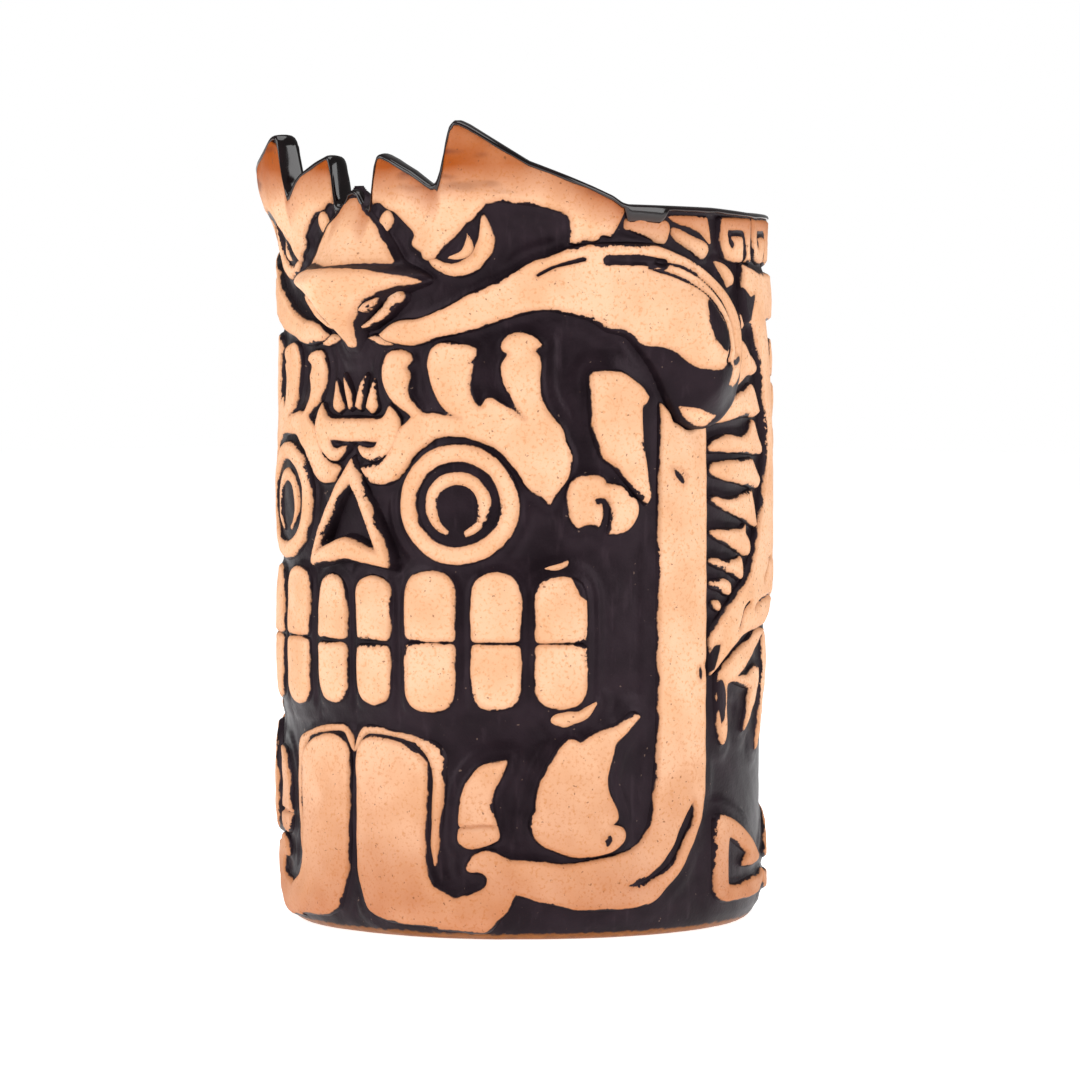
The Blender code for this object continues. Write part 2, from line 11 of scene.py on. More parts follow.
import bpy
import numpy as np
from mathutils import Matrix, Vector


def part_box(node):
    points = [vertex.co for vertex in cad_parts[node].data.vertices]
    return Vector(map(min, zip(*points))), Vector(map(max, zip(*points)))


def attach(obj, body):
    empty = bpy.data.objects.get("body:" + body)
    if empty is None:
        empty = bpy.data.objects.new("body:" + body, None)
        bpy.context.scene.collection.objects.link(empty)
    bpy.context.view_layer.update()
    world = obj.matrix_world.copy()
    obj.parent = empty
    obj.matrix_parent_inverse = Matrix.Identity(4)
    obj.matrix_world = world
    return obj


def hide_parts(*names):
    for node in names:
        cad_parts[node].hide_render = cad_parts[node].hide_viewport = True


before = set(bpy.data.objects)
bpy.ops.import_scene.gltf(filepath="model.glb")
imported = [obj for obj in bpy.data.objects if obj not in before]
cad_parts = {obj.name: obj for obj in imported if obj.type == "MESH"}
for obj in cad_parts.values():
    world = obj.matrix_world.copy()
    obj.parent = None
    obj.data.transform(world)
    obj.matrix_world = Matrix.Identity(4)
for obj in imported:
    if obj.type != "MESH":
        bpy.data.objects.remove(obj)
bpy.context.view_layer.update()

# %% [markdown]
# ## The pattern sheet
# A potter lays out relief for a round pot on a flat sheet and wraps it round the wall. The outlines below
# are drawn that way. The first number is the distance round the wall from the front centre line, and the
# second is the height, both in millimetres. A third number, 1, marks a sharp corner. The right-hand side is
# drawn, and the left-hand side mirrors it.

# %% Sizes of the sheet and the wall
SHEET_HEIGHT = 144.2
SHEET_RADIUS = 43.3
HALF_TURN = math.pi * SHEET_RADIUS
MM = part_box("cast_body")[1].z / SHEET_HEIGHT
WALL_RADIUS = 43.3
WALL_THICKNESS = 4.3
FLOOR_TOP = 6.9
FOOT_HEIGHT, FOOT_DRAW = 6.5, 3.6
INSIDE_ROUNDING = 5.0
FLARE = 5.6
RELIEF = 1.5

MIRROR_AXIS = 0.9
print("the sheet, in mm:", round(2 * HALF_TURN, 1), "round and", SHEET_HEIGHT, "high")

# %% Rim, flare and foot
RIM_LINE = (
    (0, 132.6), (1.2, 132.2), (2.2, 130.7), (3.0, 129.6), (3.8, 129.8), (4.3, 131), (4.7, 134), (5.2, 137.2),
    (5.8, 138.5), (6.7, 138.7), (9, 137.8), (13.1, 135.7), (16.3, 133.5), (17.2, 133.0), (18.0, 133.6),
    (18.8, 135.6), (19.6, 138.6), (20.1, 141.5), (20.6, 143.2), (21.4, 144.1), (22.4, 144.1), (23.8, 143.4),
    (28.8, 140.1), (33.4, 137.0), (40, 134.3), (44.1, 132.6), (47.5, 131.1), (49.2, 130.0), (50.6, 129.6),
    (70, 129.3), (83, 128.7), (140, 128.6),
)
FLARE_BY_HEIGHT = ((118, 0.0), (124, 0.2), (130, 0.62), (137, 1.0), (146, 1.04))
FLARE_ROUND_WALL = ((0, 0.02), (7, 0.08), (14, 0.35), (21, 0.68), (28, 0.78), (40, 0.8), (49, 0.62),
                    (62, 0.33), (75, 0.15), (140, 0.15))


def soft_step(value, low, high):
    """0 below low, 1 above high, and a smooth ramp between."""
    share = np.clip((value - low) / (high - low), 0, 1)
    return share * share * (3 - 2 * share)


def from_front(along):
    """Distance round the sheet from the line that the two halves mirror in, on either side."""
    return np.abs((along - MIRROR_AXIS + HALF_TURN) % (2 * HALF_TURN) - HALF_TURN)


def rim_height(along):
    """Height of the lip. The left tip of the crown came out a little lower and broader than the right one."""
    side = from_front(along)
    tip = soft_step(-along, 13, 18) * (1 - soft_step(-along, 22, 36))
    return np.interp(side + 2.0 * tip * soft_step(side, 16.4, 18.4), *zip(*RIM_LINE)) - 1.4 * tip


def rim_steepness(along):
    """How much further a step down square to the rim goes, measured straight down."""
    slope = (rim_height(along + 0.2) - rim_height(along - 0.2)) / 0.4
    return np.clip(np.hypot(1, slope), 1, 2.5)


def flare(along, height):
    """How far the wall leans out."""
    by_height = np.interp(height, *zip(*FLARE_BY_HEIGHT))
    return FLARE * by_height * np.interp(from_front(along), *zip(*FLARE_ROUND_WALL))


def foot_tuck(height):
    """How far the rounded foot draws in."""
    share = np.clip(1 - height / FOOT_HEIGHT, 0, 1)
    return FOOT_DRAW * (1 - np.sqrt(1 - share ** 2.4))


print("rim at the crown's tip, in mm:", float(rim_height(np.array(21.7))))

# %% [markdown]
# ## Soft swellings
# Under the relief the wall isn't a plain cylinder. It swells softly under the gums, the eyes, the nose and
# the fangs, and the relief rides on those swellings. One function gives their height at any place, so the
# wall and every ornament follow the same ground.

# %% Swellings of the wall
# Each has its centre on the sheet, its reach along and up the sheet, and its rise, all in mm.
SWELLINGS = (
    ((23, 52.6), (27, 15), 0.8),
    ((22.1, 77), (13, 13), 0.9),
    ((0, 72), (10, 13), 1.0),
    ((50.5, 90), (7, 16), 0.9),
    ((43, 26), (10, 14), 0.6),
    ((67, 106), (13, 13), 1.4),
    ((103, 70), (14, 40), 0.6),
)


def swelling(along, height):
    """Height of the soft ground under the relief."""
    side = from_front(along)
    total = np.zeros_like(np.asarray(along, float))
    for (u, z), (wide, tall), rise in SWELLINGS:
        away = np.hypot((side - u) / wide, (height - z) / tall)
        total = total + rise * (1 - soft_step(away, 0.45, 1.25))
    return total


def on_wall(along, height, lift):
    """Points of the wrapped sheet, in metres, as rows of x, y, z."""
    turn = along / SHEET_RADIUS
    radius = WALL_RADIUS + flare(along, height) + swelling(along, height) - foot_tuck(height) + lift
    return np.stack([radius * np.sin(turn), -radius * np.cos(turn), height], axis=-1) * MM


print("the gums swell, in mm:", round(float(swelling(23.0, 52.6)), 2))

# %% [markdown]
# ## Outlines and distances
# An outline needs only the points that its shape needs. Smooth stretches between them are filled in as
# curves, the way a French curve joins marks on paper. The signed distance to an outline says how far inside
# it a point lies. That one number shapes the rounded edge of the clay and tells the finish where the stain
# was wiped off.

# %% Curves and distances
def rounded(outline, steps=6):
    """Fills a closed outline in with curve points, keeping its marked corners sharp."""
    places = np.array([place[:2] for place in outline], float)
    corner = [len(place) == 3 for place in outline]
    count, filled = len(outline), []
    for i in range(count):
        here, there = places[i], places[(i + 1) % count]
        chord = there - here
        length = np.linalg.norm(chord)
        leave, arrive = chord, chord
        if not corner[i]:
            leave = there - places[i - 1]
            leave = leave / max(np.linalg.norm(leave), 1e-6) * length
        if not corner[(i + 1) % count]:
            arrive = places[(i + 2) % count] - here
            arrive = arrive / max(np.linalg.norm(arrive), 1e-6) * length
        straight = corner[i] and corner[(i + 1) % count]
        for t in np.arange(1 if straight else steps) / (1 if straight else steps):
            a, b = 2 * t ** 3 - 3 * t ** 2 + 1, t ** 3 - 2 * t ** 2 + t
            filled.append(a * here + b * leave + (1 - a) * there + (t ** 3 - t ** 2) * arrive)
    return np.array(filled)


def line_distance(u, z, line, closed=False):
    """Distance from points to a line through marks."""
    ends = np.roll(line, -1, axis=0) if closed else line[1:]
    starts = line if closed else line[:-1]
    best = np.full(u.shape, 1e9)
    for (x0, y0), (x1, y1) in zip(starts, ends):
        dx, dy = x1 - x0, y1 - y0
        share = np.clip(((u - x0) * dx + (z - y0) * dy) / max(dx * dx + dy * dy, 1e-12), 0, 1)
        best = np.minimum(best, (u - x0 - share * dx) ** 2 + (z - y0 - share * dy) ** 2)
    return np.sqrt(best)


def inside_distance(u, z, loop):
    """Signed distance to a closed loop, positive inside."""
    inside = np.zeros(u.shape, bool)
    for (x0, y0), (x1, y1) in zip(loop, np.roll(loop, -1, axis=0)):
        if y0 != y1:
            crosses = (y0 > z) != (y1 > z)
            inside ^= crosses & (u < (x1 - x0) * (z - y0) / (y1 - y0) + x0)
    return np.where(inside, 1, -1) * line_distance(u, z, loop, closed=True)


def mirrored(outline, axis):
    """The same outline on the other side of a vertical line."""
    return tuple((2 * axis - place[0], *place[1:]) for place in outline)


def both_sides(outline):
    """A whole outline from the half on one side, drawn from the centre line, which its ends lie on."""
    whole = tuple(outline) + tuple(place for place in reversed(mirrored(outline, 0)) if place[0] != 0)
    return tuple((place[0] + MIRROR_AXIS, *place[1:]) for place in whole)


def circle(centre, radius, count=28):
    """A round outline."""
    turns = [2 * math.pi * i / count for i in range(count)]
    return tuple((centre[0] + radius * math.cos(t), centre[1] + radius * math.sin(t)) for t in turns)


print("a drawn circle has", len(rounded(circle((0, 0), 5))), "points once its curves are filled in")

# %% [markdown]
# ## One ornament
# Each ornament is a closed slab of clay. A fine flat grid is kept wherever it lies inside the outline or
# just outside it, and lifted by a rounded edge profile that reaches down below the wall's surface, so that
# the foot of the ornament is buried and its seam with the wall is clean. A groove is a line pressed into
# the top. `stains` are places where the stain was never wiped off: they change the colour and leave the
# form alone.

# %% The clay's edge
GRID = 0.4
EDGE_OUT = 1.05
EDGE_IN = 0.3
BURIED = 0.6
DOME, DOME_REACH = 0.22, 4.0


def edge_profile(inset, top):
    """Height of the clay at a distance inside its outline: steep at the foot and rounded at the shoulder."""
    share = np.clip((inset + EDGE_OUT) / (EDGE_OUT + EDGE_IN), 0, 1)
    dome = DOME * soft_step(inset, 0, DOME_REACH)
    return -BURIED + (top + BURIED) * np.sin(share * math.pi / 2) ** 0.95 + dome


def unevenness(u, z):
    """Slow hand-made waviness of a cast surface."""
    wave = 0.07 * np.sin(0.55 * u + 0.4 * np.sin(0.3 * z)) * np.sin(0.43 * z + 0.9)
    return wave + 0.04 * np.sin(1.3 * u + z)


print("edge of a sprig, in mm:", [round(float(edge_profile(inset, RELIEF)), 2) for inset in (-1, 0, 1)])


# %% Inset, wiped area and grooves
def smooth_line(line, steps=6):
    """An open line with its marks joined by curves."""
    marks = [tuple(mark[:2]) for mark in line]
    loop = [(*marks[0], 1)] + marks[1:-1] + [(*marks[-1], 1)]
    return rounded(loop, steps)[: steps * (len(loop) - 1) + 1] if len(loop) > 2 else np.array(marks, float)


def inside_any(u, z, loops):
    """Signed distance to the nearest of several loops that overlap."""
    return np.maximum.reduce([inside_distance(u, z, rounded(loop)) for loop in loops])


def ornament_fields(u, z, form, holes=(), buff=None, stains=(), grooves=()):
    """Inset of the form, inset of the wiped, buff part of it, and depth of its grooves."""
    shape = inside_any(u, z, form)
    for hole in holes:
        shape = np.minimum(shape, -inside_any(u, z, [hole]))
    bare = np.minimum(shape, inside_any(u, z, buff)) if buff else shape
    for stain in stains:
        bare = np.minimum(bare, -inside_any(u, z, [stain]))
    dent = np.zeros_like(u)
    for line, width in grooves:
        away = line_distance(u, z, smooth_line(line)) - width / 2
        bare = np.minimum(bare, 2.2 * away + 0.1)
        dent = dent + 0.7 * (1 - soft_step(away, -width / 2, 0.45))
    return shape, bare, dent


# %% Build a flat slab
MARGIN = 1.3
PAD_BELOW_LIP = 0.55
BASE_DEPTH = 0.9


def store(mesh, field, values):
    """Keeps one number at each point, for a finish to read."""
    stored = mesh.attributes.new(field, "FLOAT", "POINT")
    stored.data.foreach_set("value", np.asarray(values, np.float32))


def slab_grid(form, grid, to_rim):
    """A fine flat grid over a form: its places, and its cells as rows of four corners."""
    places = np.concatenate([rounded(loop) for loop in form])
    low, high = places.min(axis=0) - MARGIN, places.max(axis=0) + MARGIN
    us, zs = (np.arange(low[k], high[k] + grid, grid) for k in (0, 1))
    u, z = (axis.ravel() for axis in np.meshgrid(us, zs, indexing="ij"))
    if to_rim:
        top = rim_height(u) - PAD_BELOW_LIP * rim_steepness(u)
        z = low[1] + (top - low[1]) * (z - low[1]) / (zs[-1] - low[1])
    steps = np.meshgrid(np.arange(len(us) - 1), np.arange(len(zs) - 1), indexing="ij")
    corner = steps[0].ravel() * len(zs) + steps[1].ravel()
    return u, z, np.stack([corner, corner + len(zs), corner + len(zs) + 1, corner + 1], axis=1)


def closed_slab(name, points, cells):
    """Closes a lifted sheet with a flat buried base and a wall all round."""
    count = len(points)
    edges = np.stack([cells, np.roll(cells, -1, axis=1)], axis=-1).reshape(-1, 2)
    twins = set(map(tuple, edges[:, ::-1].tolist()))
    border = [(b, a, a + count, b + count) for a, b in edges.tolist() if (a, b) not in twins]
    base = points.copy()
    base[:, 2] = -BASE_DEPTH
    mesh = bpy.data.meshes.new(name)
    faces = cells.tolist() + (cells[:, ::-1] + count).tolist() + border
    mesh.from_pydata(np.concatenate([points, base]).tolist(), [], faces)
    return mesh


def flat_slab(name, form, lift=None, top=RELIEF, grid=GRID, to_rim=False, **details):
    """A flat closed slab, x along the sheet, y up it and z off it, in millimetres."""
    u, z, cells = slab_grid(form, grid, to_rim)
    shape, bare, dent = ornament_fields(u, z, form, **details)
    tops = np.full(u.shape, top) if lift is None else lift(u, z, shape)
    rise = edge_profile(shape, tops) - np.minimum(dent, 0.8 * tops) + unevenness(u, z)
    cells = cells[shape[cells].max(axis=1) > -EDGE_OUT - 0.15]
    used, cells = np.unique(cells, return_inverse=True)
    mesh = closed_slab(name, np.stack([u[used], z[used], rise[used]], axis=1), cells.reshape(-1, 4))
    store(mesh, "bare", np.tile(bare[used], 2))
    return mesh


# %% Wrap it round the wall
CREST_BASE = 122


def wrap(mesh, mirror_at=None):
    """Bends a flat slab round the wall, on the mirror side if asked."""
    flat = np.empty(len(mesh.vertices) * 3)
    mesh.vertices.foreach_get("co", flat)
    u, z, lift = flat.reshape(-1, 3).T
    if mirror_at is not None:
        drawn, u = rim_height(u), 2 * mirror_at - u
        z = z + (rim_height(u) - drawn) * np.clip((z - CREST_BASE) / (drawn - CREST_BASE), 0, 1)
        mesh.flip_normals()
    mesh.vertices.foreach_set("co", on_wall(u, z, lift).ravel())
    store(mesh, "below_rim", rim_height(u) - z)
    mesh.shade_smooth()
    mesh.update()
    return mesh


# %% [markdown]
# ## Finishes
# Two finishes cover the mug. **Wiped stoneware** is unglazed stoneware, IOR about 1.5 and rough, with an
# iron-black stain in its hollows, and toasted brown at the foot, where it was sponged clean. **Poured
# glaze** is a glass, IOR 1.5, almost black and very smooth, that turns brown where it thins. Colours are
# sRGB hex codes. Each pattern's scale comes from a real size in millimetres.

# %% Helpers for finishes
def linear(code):
    """An sRGB hex code as linear red, green, blue and alpha."""
    shares = [int(code[i:i + 2], 16) / 255 for i in (0, 2, 4)]
    return (*[s / 12.92 if s <= 0.04045 else ((s + 0.055) / 1.055) ** 2.4 for s in shares], 1.0)


def add(tree, kind, values=None, **settings):
    """Adds a node, sets it up, and fills its inputs with numbers, hex colours, sockets or other nodes."""
    made = tree.nodes.new(kind)
    for key, value in settings.items():
        setattr(made, key, value)
    for key, value in (values or {}).items():
        if isinstance(value, bpy.types.Node):
            value = next(output for output in value.outputs if output.enabled)
        if isinstance(value, bpy.types.NodeSocket):
            tree.links.new(value, made.inputs[key])
        else:
            made.inputs[key].default_value = linear(value) if isinstance(value, str) else value
    return made


def new_finish(name):
    """An empty material, its node tree, and the place on the piece that its patterns read."""
    finish = bpy.data.materials.new(name)
    finish.use_nodes = True
    finish.node_tree.nodes.clear()
    return finish, finish.node_tree, add(finish.node_tree, "ShaderNodeTexCoord").outputs["Object"]


def patches(tree, place, size_mm, low, high, most=1.0, detail=2.0):
    """Soft-edged patches of about this size in mm, as an amount from 0 to most."""
    clouds = add(tree, "ShaderNodeTexNoise", {"Vector": place, "Scale": 1000 / size_mm, "Detail": detail})
    limits = {"Value": clouds, "From Min": low, "From Max": high, "To Max": most}
    return add(tree, "ShaderNodeMapRange", limits, interpolation_type="SMOOTHSTEP")


# %% [markdown]
# ### Wiped stoneware
# The stored distance `bare` is how far a point lies inside the wiped area. Three noises push that edge in
# and out, so the stain breaks off raggedly as it does under a sponge. Buff clay is freckled and speckled by
# iron, in spots of 0.5 to 0.7 mm. It is warmer at the rim and the foot, where the flame reached it, and
# browner in a thin halo just inside the stain's edge: partly stain thinned there, partly painted shade where
# the relief rounds over. The clay's own grain is nearer 0.1 mm, which is too fine to see from here, so it is
# drawn at 0.5 mm.

# %% Buff clay
def warm_places(tree, place, below_rim, height, high):
    """How warm the clay is, towards the lip and the foot, in soft clouds."""
    lip_reach = {"Value": below_rim, "From Min": 7.0, "From Max": 0.3, "To Max": 0.9}
    lip_share = add(tree, "ShaderNodeMapRange", lip_reach)
    near_rim = add(tree, "ShaderNodeMath", {0: lip_share, 1: high}, operation="MAXIMUM")
    near_foot = add(tree, "ShaderNodeMapRange", {"Value": height, "From Min": 0.040, "From Max": 0.004})
    foot_share = add(tree, "ShaderNodeMath", {0: near_foot, 1: 0.62}, operation="MULTIPLY")
    warm = add(tree, "ShaderNodeMath", {0: near_rim, 1: foot_share}, operation="MAXIMUM")
    cloudy = patches(tree, place, 12.0, 0.25, 0.7)
    spread = add(tree, "ShaderNodeMath", {0: cloudy, 1: 0.35, 2: 0.75}, operation="MULTIPLY_ADD")
    return add(tree, "ShaderNodeMath", {0: warm, 1: spread}, operation="MULTIPLY")


def buff_clay(tree, place, bare, below_rim, height):
    """Buff clay under its coats: freckles, warmth, smears at the crown, a brown halo of thinned stain and
    painted shade, and iron specks.
    """
    high = add(tree, "ShaderNodeMapRange", {"Value": height, "From Min": 0.1295, "From Max": 0.1365})
    flat = add(tree, "ShaderNodeMapping", {"Vector": place, "Scale": (1, 1, 3.5)})
    streaks = patches(tree, flat, 14.0, 0.52, 0.66, most=0.8)
    smeared = add(tree, "ShaderNodeMath", {0: streaks, 1: high}, operation="MULTIPLY")
    # A browner band within 0.9 mm inside the sponge line: partly thinned stain, partly painted shade on the
    # relief's rounded shoulder.
    thin_stain_and_shade = add(tree, "ShaderNodeMapRange", {"Value": bare, "From Min": 0.9, "From Max": 0.0, "To Max": 0.45})
    coats = (
        (patches(tree, place, 0.55, 0.5, 0.72, most=0.75, detail=3), "CC905F"),
        (warm_places(tree, place, below_rim, height, high), "98480E"),
        (smeared, "5A2E22"),
        (thin_stain_and_shade, "A9683A"),
        (patches(tree, place, 0.7, 0.70, 0.77, most=0.7, detail=1), "6E4226"),
    )
    mottling = {0: patches(tree, place, 9.0, 0.3, 0.7), 6: "D8A57F", 7: "E4B694"}
    clay = add(tree, "ShaderNodeMix", mottling, data_type="RGBA")
    for amount, tint in coats:
        clay = add(tree, "ShaderNodeMix", {0: amount, 6: clay, 7: tint}, data_type="RGBA")
    return clay


# %% Iron stain
def iron_stain(tree, place):
    """Iron-black stain, rubbed a little grey where a hand or sponge touched it."""
    pooling = {0: patches(tree, place, 6.0, 0.3, 0.7), 6: "120B0F", 7: "1E151A"}
    stain = add(tree, "ShaderNodeMix", pooling, data_type="RGBA")
    upright = add(tree, "ShaderNodeMapping", {"Vector": place, "Scale": (1, 1, 0.2)})
    rubbed = patches(tree, upright, 1.6, 0.55, 0.8, most=0.35, detail=4)
    grit = patches(tree, place, 0.9, 0.76, 0.8, most=0.5, detail=1)
    for amount, tint in ((rubbed, "372B31"), (grit, "7A6458")):
        stain = add(tree, "ShaderNodeMix", {0: amount, 6: stain, 7: tint}, data_type="RGBA")
    return stain


# %% Where the sponge stopped, and the bare foot
SPONGE_SHIFT = 0.42


def sponge_line(tree, place, bare):
    """Distance inside the wiped area, in mm, once noises have nibbled its edge."""
    ragged = patches(tree, place, 0.7, 0.3, 0.7, detail=3)
    frayed = patches(tree, place, 9.0, 0.55, 0.7, most=0.45)
    fray = add(tree, "ShaderNodeMath", {0: frayed, 1: 0.09}, operation="ADD")
    nibbled = add(tree, "ShaderNodeMath", {0: ragged, 1: fray}, operation="MULTIPLY")
    drift = patches(tree, place, 4.5, 0.3, 0.7, most=0.35)
    shift = add(tree, "ShaderNodeMath", {0: nibbled, 1: drift}, operation="ADD")
    edge = add(tree, "ShaderNodeMath", {0: bare, 1: shift}, operation="SUBTRACT")
    return add(tree, "ShaderNodeMath", {0: edge, 1: SPONGE_SHIFT}, operation="ADD")


def toasted_foot(tree, place, height, colour):
    """Lays the kiln's toasted brown over a colour, on the last 2 mm of the foot."""
    wander = add(tree, "ShaderNodeTexNoise", {"Vector": place, "Scale": 1000 / 1.5, "Detail": 3})
    line = add(tree, "ShaderNodeMath", {0: wander, 1: 0.0013, 2: height}, operation="MULTIPLY_ADD")
    sponged = add(tree, "ShaderNodeMapRange", {"Value": line, "From Min": 0.0020, "From Max": 0.0016})
    toast = add(tree, "ShaderNodeMix", {0: wander, 6: "5E3012", 7: "A5682F"}, data_type="RGBA")
    return add(tree, "ShaderNodeMix", {0: sponged, 6: colour, 7: toast}, data_type="RGBA")


# %% Wiped stoneware
def make_wiped_stoneware():
    """Buff clay inside the sponge line, stain outside it, and a gritty, faintly dented surface."""
    finish, tree, place = new_finish("wiped_stoneware")
    height = add(tree, "ShaderNodeSeparateXYZ", {0: place}).outputs["Z"]
    bare, below_rim = (add(tree, "ShaderNodeAttribute", attribute_name=field).outputs["Fac"]
                       for field in ("bare", "below_rim"))
    edge = sponge_line(tree, place, bare)
    wiped = add(tree, "ShaderNodeMapRange", {"Value": edge, "From Min": -0.06, "From Max": 0.1})
    buff = buff_clay(tree, place, edge, below_rim, height)
    colour = add(tree, "ShaderNodeMix", {0: wiped, 6: iron_stain(tree, place), 7: buff}, data_type="RGBA")
    colour = toasted_foot(tree, place, height, colour)
    grain = add(tree, "ShaderNodeTexNoise", {"Vector": place, "Scale": 1000 / 0.5, "Detail": 3})
    base_rough = add(tree, "ShaderNodeMath", {0: wiped, 1: 0.2, 2: 0.34}, operation="MULTIPLY_ADD")
    rough = add(tree, "ShaderNodeMath", {0: grain, 1: 0.08, 2: base_rough}, operation="MULTIPLY_ADD")
    dents = add(tree, "ShaderNodeTexNoise", {"Vector": place, "Scale": 1000 / 2.5, "Detail": 2})
    surface = add(tree, "ShaderNodeMath", {0: dents, 1: 1.6, 2: grain}, operation="MULTIPLY_ADD")
    bump = add(tree, "ShaderNodeBump", {"Height": surface, "Strength": 0.5, "Distance": 0.00008})
    parts = {"Base Color": colour, "Roughness": rough, "Normal": bump, "IOR": 1.5}
    parts |= {"Specular IOR Level": 0.15, "Specular Tint": "F0D4E4"}
    add(tree, "ShaderNodeOutputMaterial", {"Surface": add(tree, "ShaderNodeBsdfPrincipled", parts)})
    return finish


wiped_stoneware = make_wiped_stoneware()
print("finish:", wiped_stoneware.name, "with", len(wiped_stoneware.node_tree.nodes), "nodes")

# %% [markdown]
# ### Poured glaze
# The glaze is a thick glassy coat. It pools almost black, and thins to dark brown at its lower edge on the
# outside of the lip. Its surface is nearly mirror smooth, with an orange-peel ripple about 3.5 mm long.
# A little coat on top gives the sharp wet highlight that fired glass has.

# %% Poured glaze
def make_poured_glaze():
    """Near-black glass with a ripple, browner where its skirt runs thin."""
    finish, tree, place = new_finish("poured_glaze")
    depths = {0: patches(tree, place, 7.0, 0.3, 0.7), 6: "0D0708", 7: "190E10"}
    pooled = add(tree, "ShaderNodeMix", depths, data_type="RGBA")
    skirt = add(tree, "ShaderNodeAttribute", attribute_name="skirt").outputs["Fac"]
    thin = add(tree, "ShaderNodeMapRange", {"Value": skirt, "From Min": 0.7, "From Max": 0.0, "To Max": 0.85})
    colour = add(tree, "ShaderNodeMix", {0: thin, 6: pooled, 7: "3A1C0E"}, data_type="RGBA")
    ripple = add(tree, "ShaderNodeTexNoise", {"Vector": place, "Scale": 1000 / 3.5, "Detail": 1})
    rough = add(tree, "ShaderNodeMath", {0: ripple, 1: 0.1, 2: 0.04}, operation="MULTIPLY_ADD")
    bump = add(tree, "ShaderNodeBump", {"Height": ripple, "Strength": 0.3, "Distance": 0.00012})
    parts = {"Base Color": colour, "Roughness": rough, "Normal": bump, "IOR": 1.5}
    parts |= {"Specular IOR Level": 0.3, "Coat Weight": 0.25, "Coat Roughness": 0.04}
    add(tree, "ShaderNodeOutputMaterial", {"Surface": add(tree, "ShaderNodeBsdfPrincipled", parts)})
    return finish


poured_glaze = make_poured_glaze()
print("finish:", poured_glaze.name, "with", len(poured_glaze.node_tree.nodes), "nodes")

# %% [markdown]
# ## Putting pieces on the mug
# Each ornament is built flat, wrapped, given its finish, and set to ride on the mug's one body. Where the
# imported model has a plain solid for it, the new piece takes that solid's place. Most ornaments come in
# pairs, so one call makes the right-hand one and its mirror image.

# %% Put a piece in the scene
def place_piece(name, mesh, finish, nodes=()):
    """A finished piece on the mug: it rides on the root, and hides the CAD nodes that it stands for."""
    mesh.materials.clear()
    mesh.materials.append(finish)
    piece = bpy.data.objects.new(name, mesh)
    bpy.context.scene.collection.objects.link(piece)
    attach(piece, "root")
    if nodes:
        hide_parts(*nodes)
    return piece


def sprig(name, form, nodes=(), mirror_at=None, **details):
    """One ornament, wrapped on the wall."""
    mesh = wrap(flat_slab(name, form, **details), mirror_at)
    return place_piece(name, mesh, wiped_stoneware, nodes)


def sprig_pair(name, form, in_cad=True, **details):
    """A right-hand ornament and its mirror image."""
    for side, mirror_at in (("right", None), ("left", MIRROR_AXIS)):
        nodes = [f"{name}_{side}"] if in_cad else []
        sprig(f"{name}_{side}", form, nodes, mirror_at, **details)
    print("pair:", name)


# %% [markdown]
# ## The helmet: snout, brow, eyelids and upper lip
# The wearer of the helmet looks out of an animal's open jaws. Its snout is a wedge: a triangle slopes forward
# from the crown to a shelf, and a second panel falls back below the shelf to the lip. The upper lip is a long
# band that rolls outwards at the corner of the mouth, with fine lines pressed along the roll.

# %% The snout
# Both tables go up the sheet: a height, then the half-width there or how far the ridge stands out.
SNOUT_WIDTH = ((104, 1.2), (105.3, 2.2), (107.7, 3.4), (109.1, 4.6), (110.6, 6.2), (112.2, 8.0),
               (113.6, 10.2), (114.7, 12.6), (115.4, 14.8), (116.2, 16.2), (117.2, 15.6), (118.2, 14.0),
               (119.6, 11.2), (121, 10.2), (122.7, 9.2), (124.1, 8.2), (126, 7.0), (127.2, 5.4), (128.7, 3.8),
               (131.4, 2.2))
SNOUT_RIDGE = ((104, 1.0), (105.4, 1.6), (106.4, 3.1), (108.2, 5.7), (109.6, 7.4), (110.6, 8.7),
               (112.1, 10.0), (114.3, 11.4), (115.9, 12.4), (116.6, 12.2), (117.5, 11.2), (118.1, 9.8),
               (119.2, 6.4), (122.7, 4.6), (125.7, 3.2), (128.4, 1.8), (131.4, 0.5))
SNOUT_FORM = [both_sides([(0, 104, 1)] + [(w, z) for z, w in SNOUT_WIDTH[:-1]] + [(0, 132.0, 1)])]
SNOUT_PANELS = (
    both_sides(((0, 131.2, 1), (1.3, 130.6), (2.6, 128.7), (4.2, 127.2), (5.8, 125.8), (6.9, 124.1),
                (7.9, 122.7), (8.7, 120.9), (9.4, 119.7, 1), (5.2, 119.6), (2.8, 119.3), (0, 119.0))),
    both_sides(((0, 118.3), (5, 118.1), (8.1, 117.8), (10.9, 117.3), (13.2, 116.6), (15.0, 116.1, 1),
                (12.4, 115.7), (10.2, 115.1), (8.6, 114.6), (6.4, 113.5), (4.9, 112.1), (3.7, 110.6),
                (2.4, 109), (1.9, 107.6), (1.6, 106.2), (0.9, 104.9, 1), (0, 104.8))),
)
RIDGE_ROUNDING = 0.77


def snout_lift(u, z, inset):
    """Straight flanks from the ridge to the sides, as a wedge has."""
    width = np.interp(z, *zip(*SNOUT_WIDTH))
    ridge = np.interp(z, *zip(*SNOUT_RIDGE))
    out = np.hypot(u - MIRROR_AXIS, RIDGE_ROUNDING) - RIDGE_ROUNDING
    across = np.clip(1 - out / (width + 0.4), 0, 1)
    return np.minimum(ridge, 1.0) + np.maximum(ridge - 1.0, 0) * across ** 1.05


sprig("snout", SNOUT_FORM, ["snout"], lift=snout_lift, buff=SNOUT_PANELS, grid=0.3)
print("the snout stands out, in mm:", max(ridge for _, ridge in SNOUT_RIDGE))

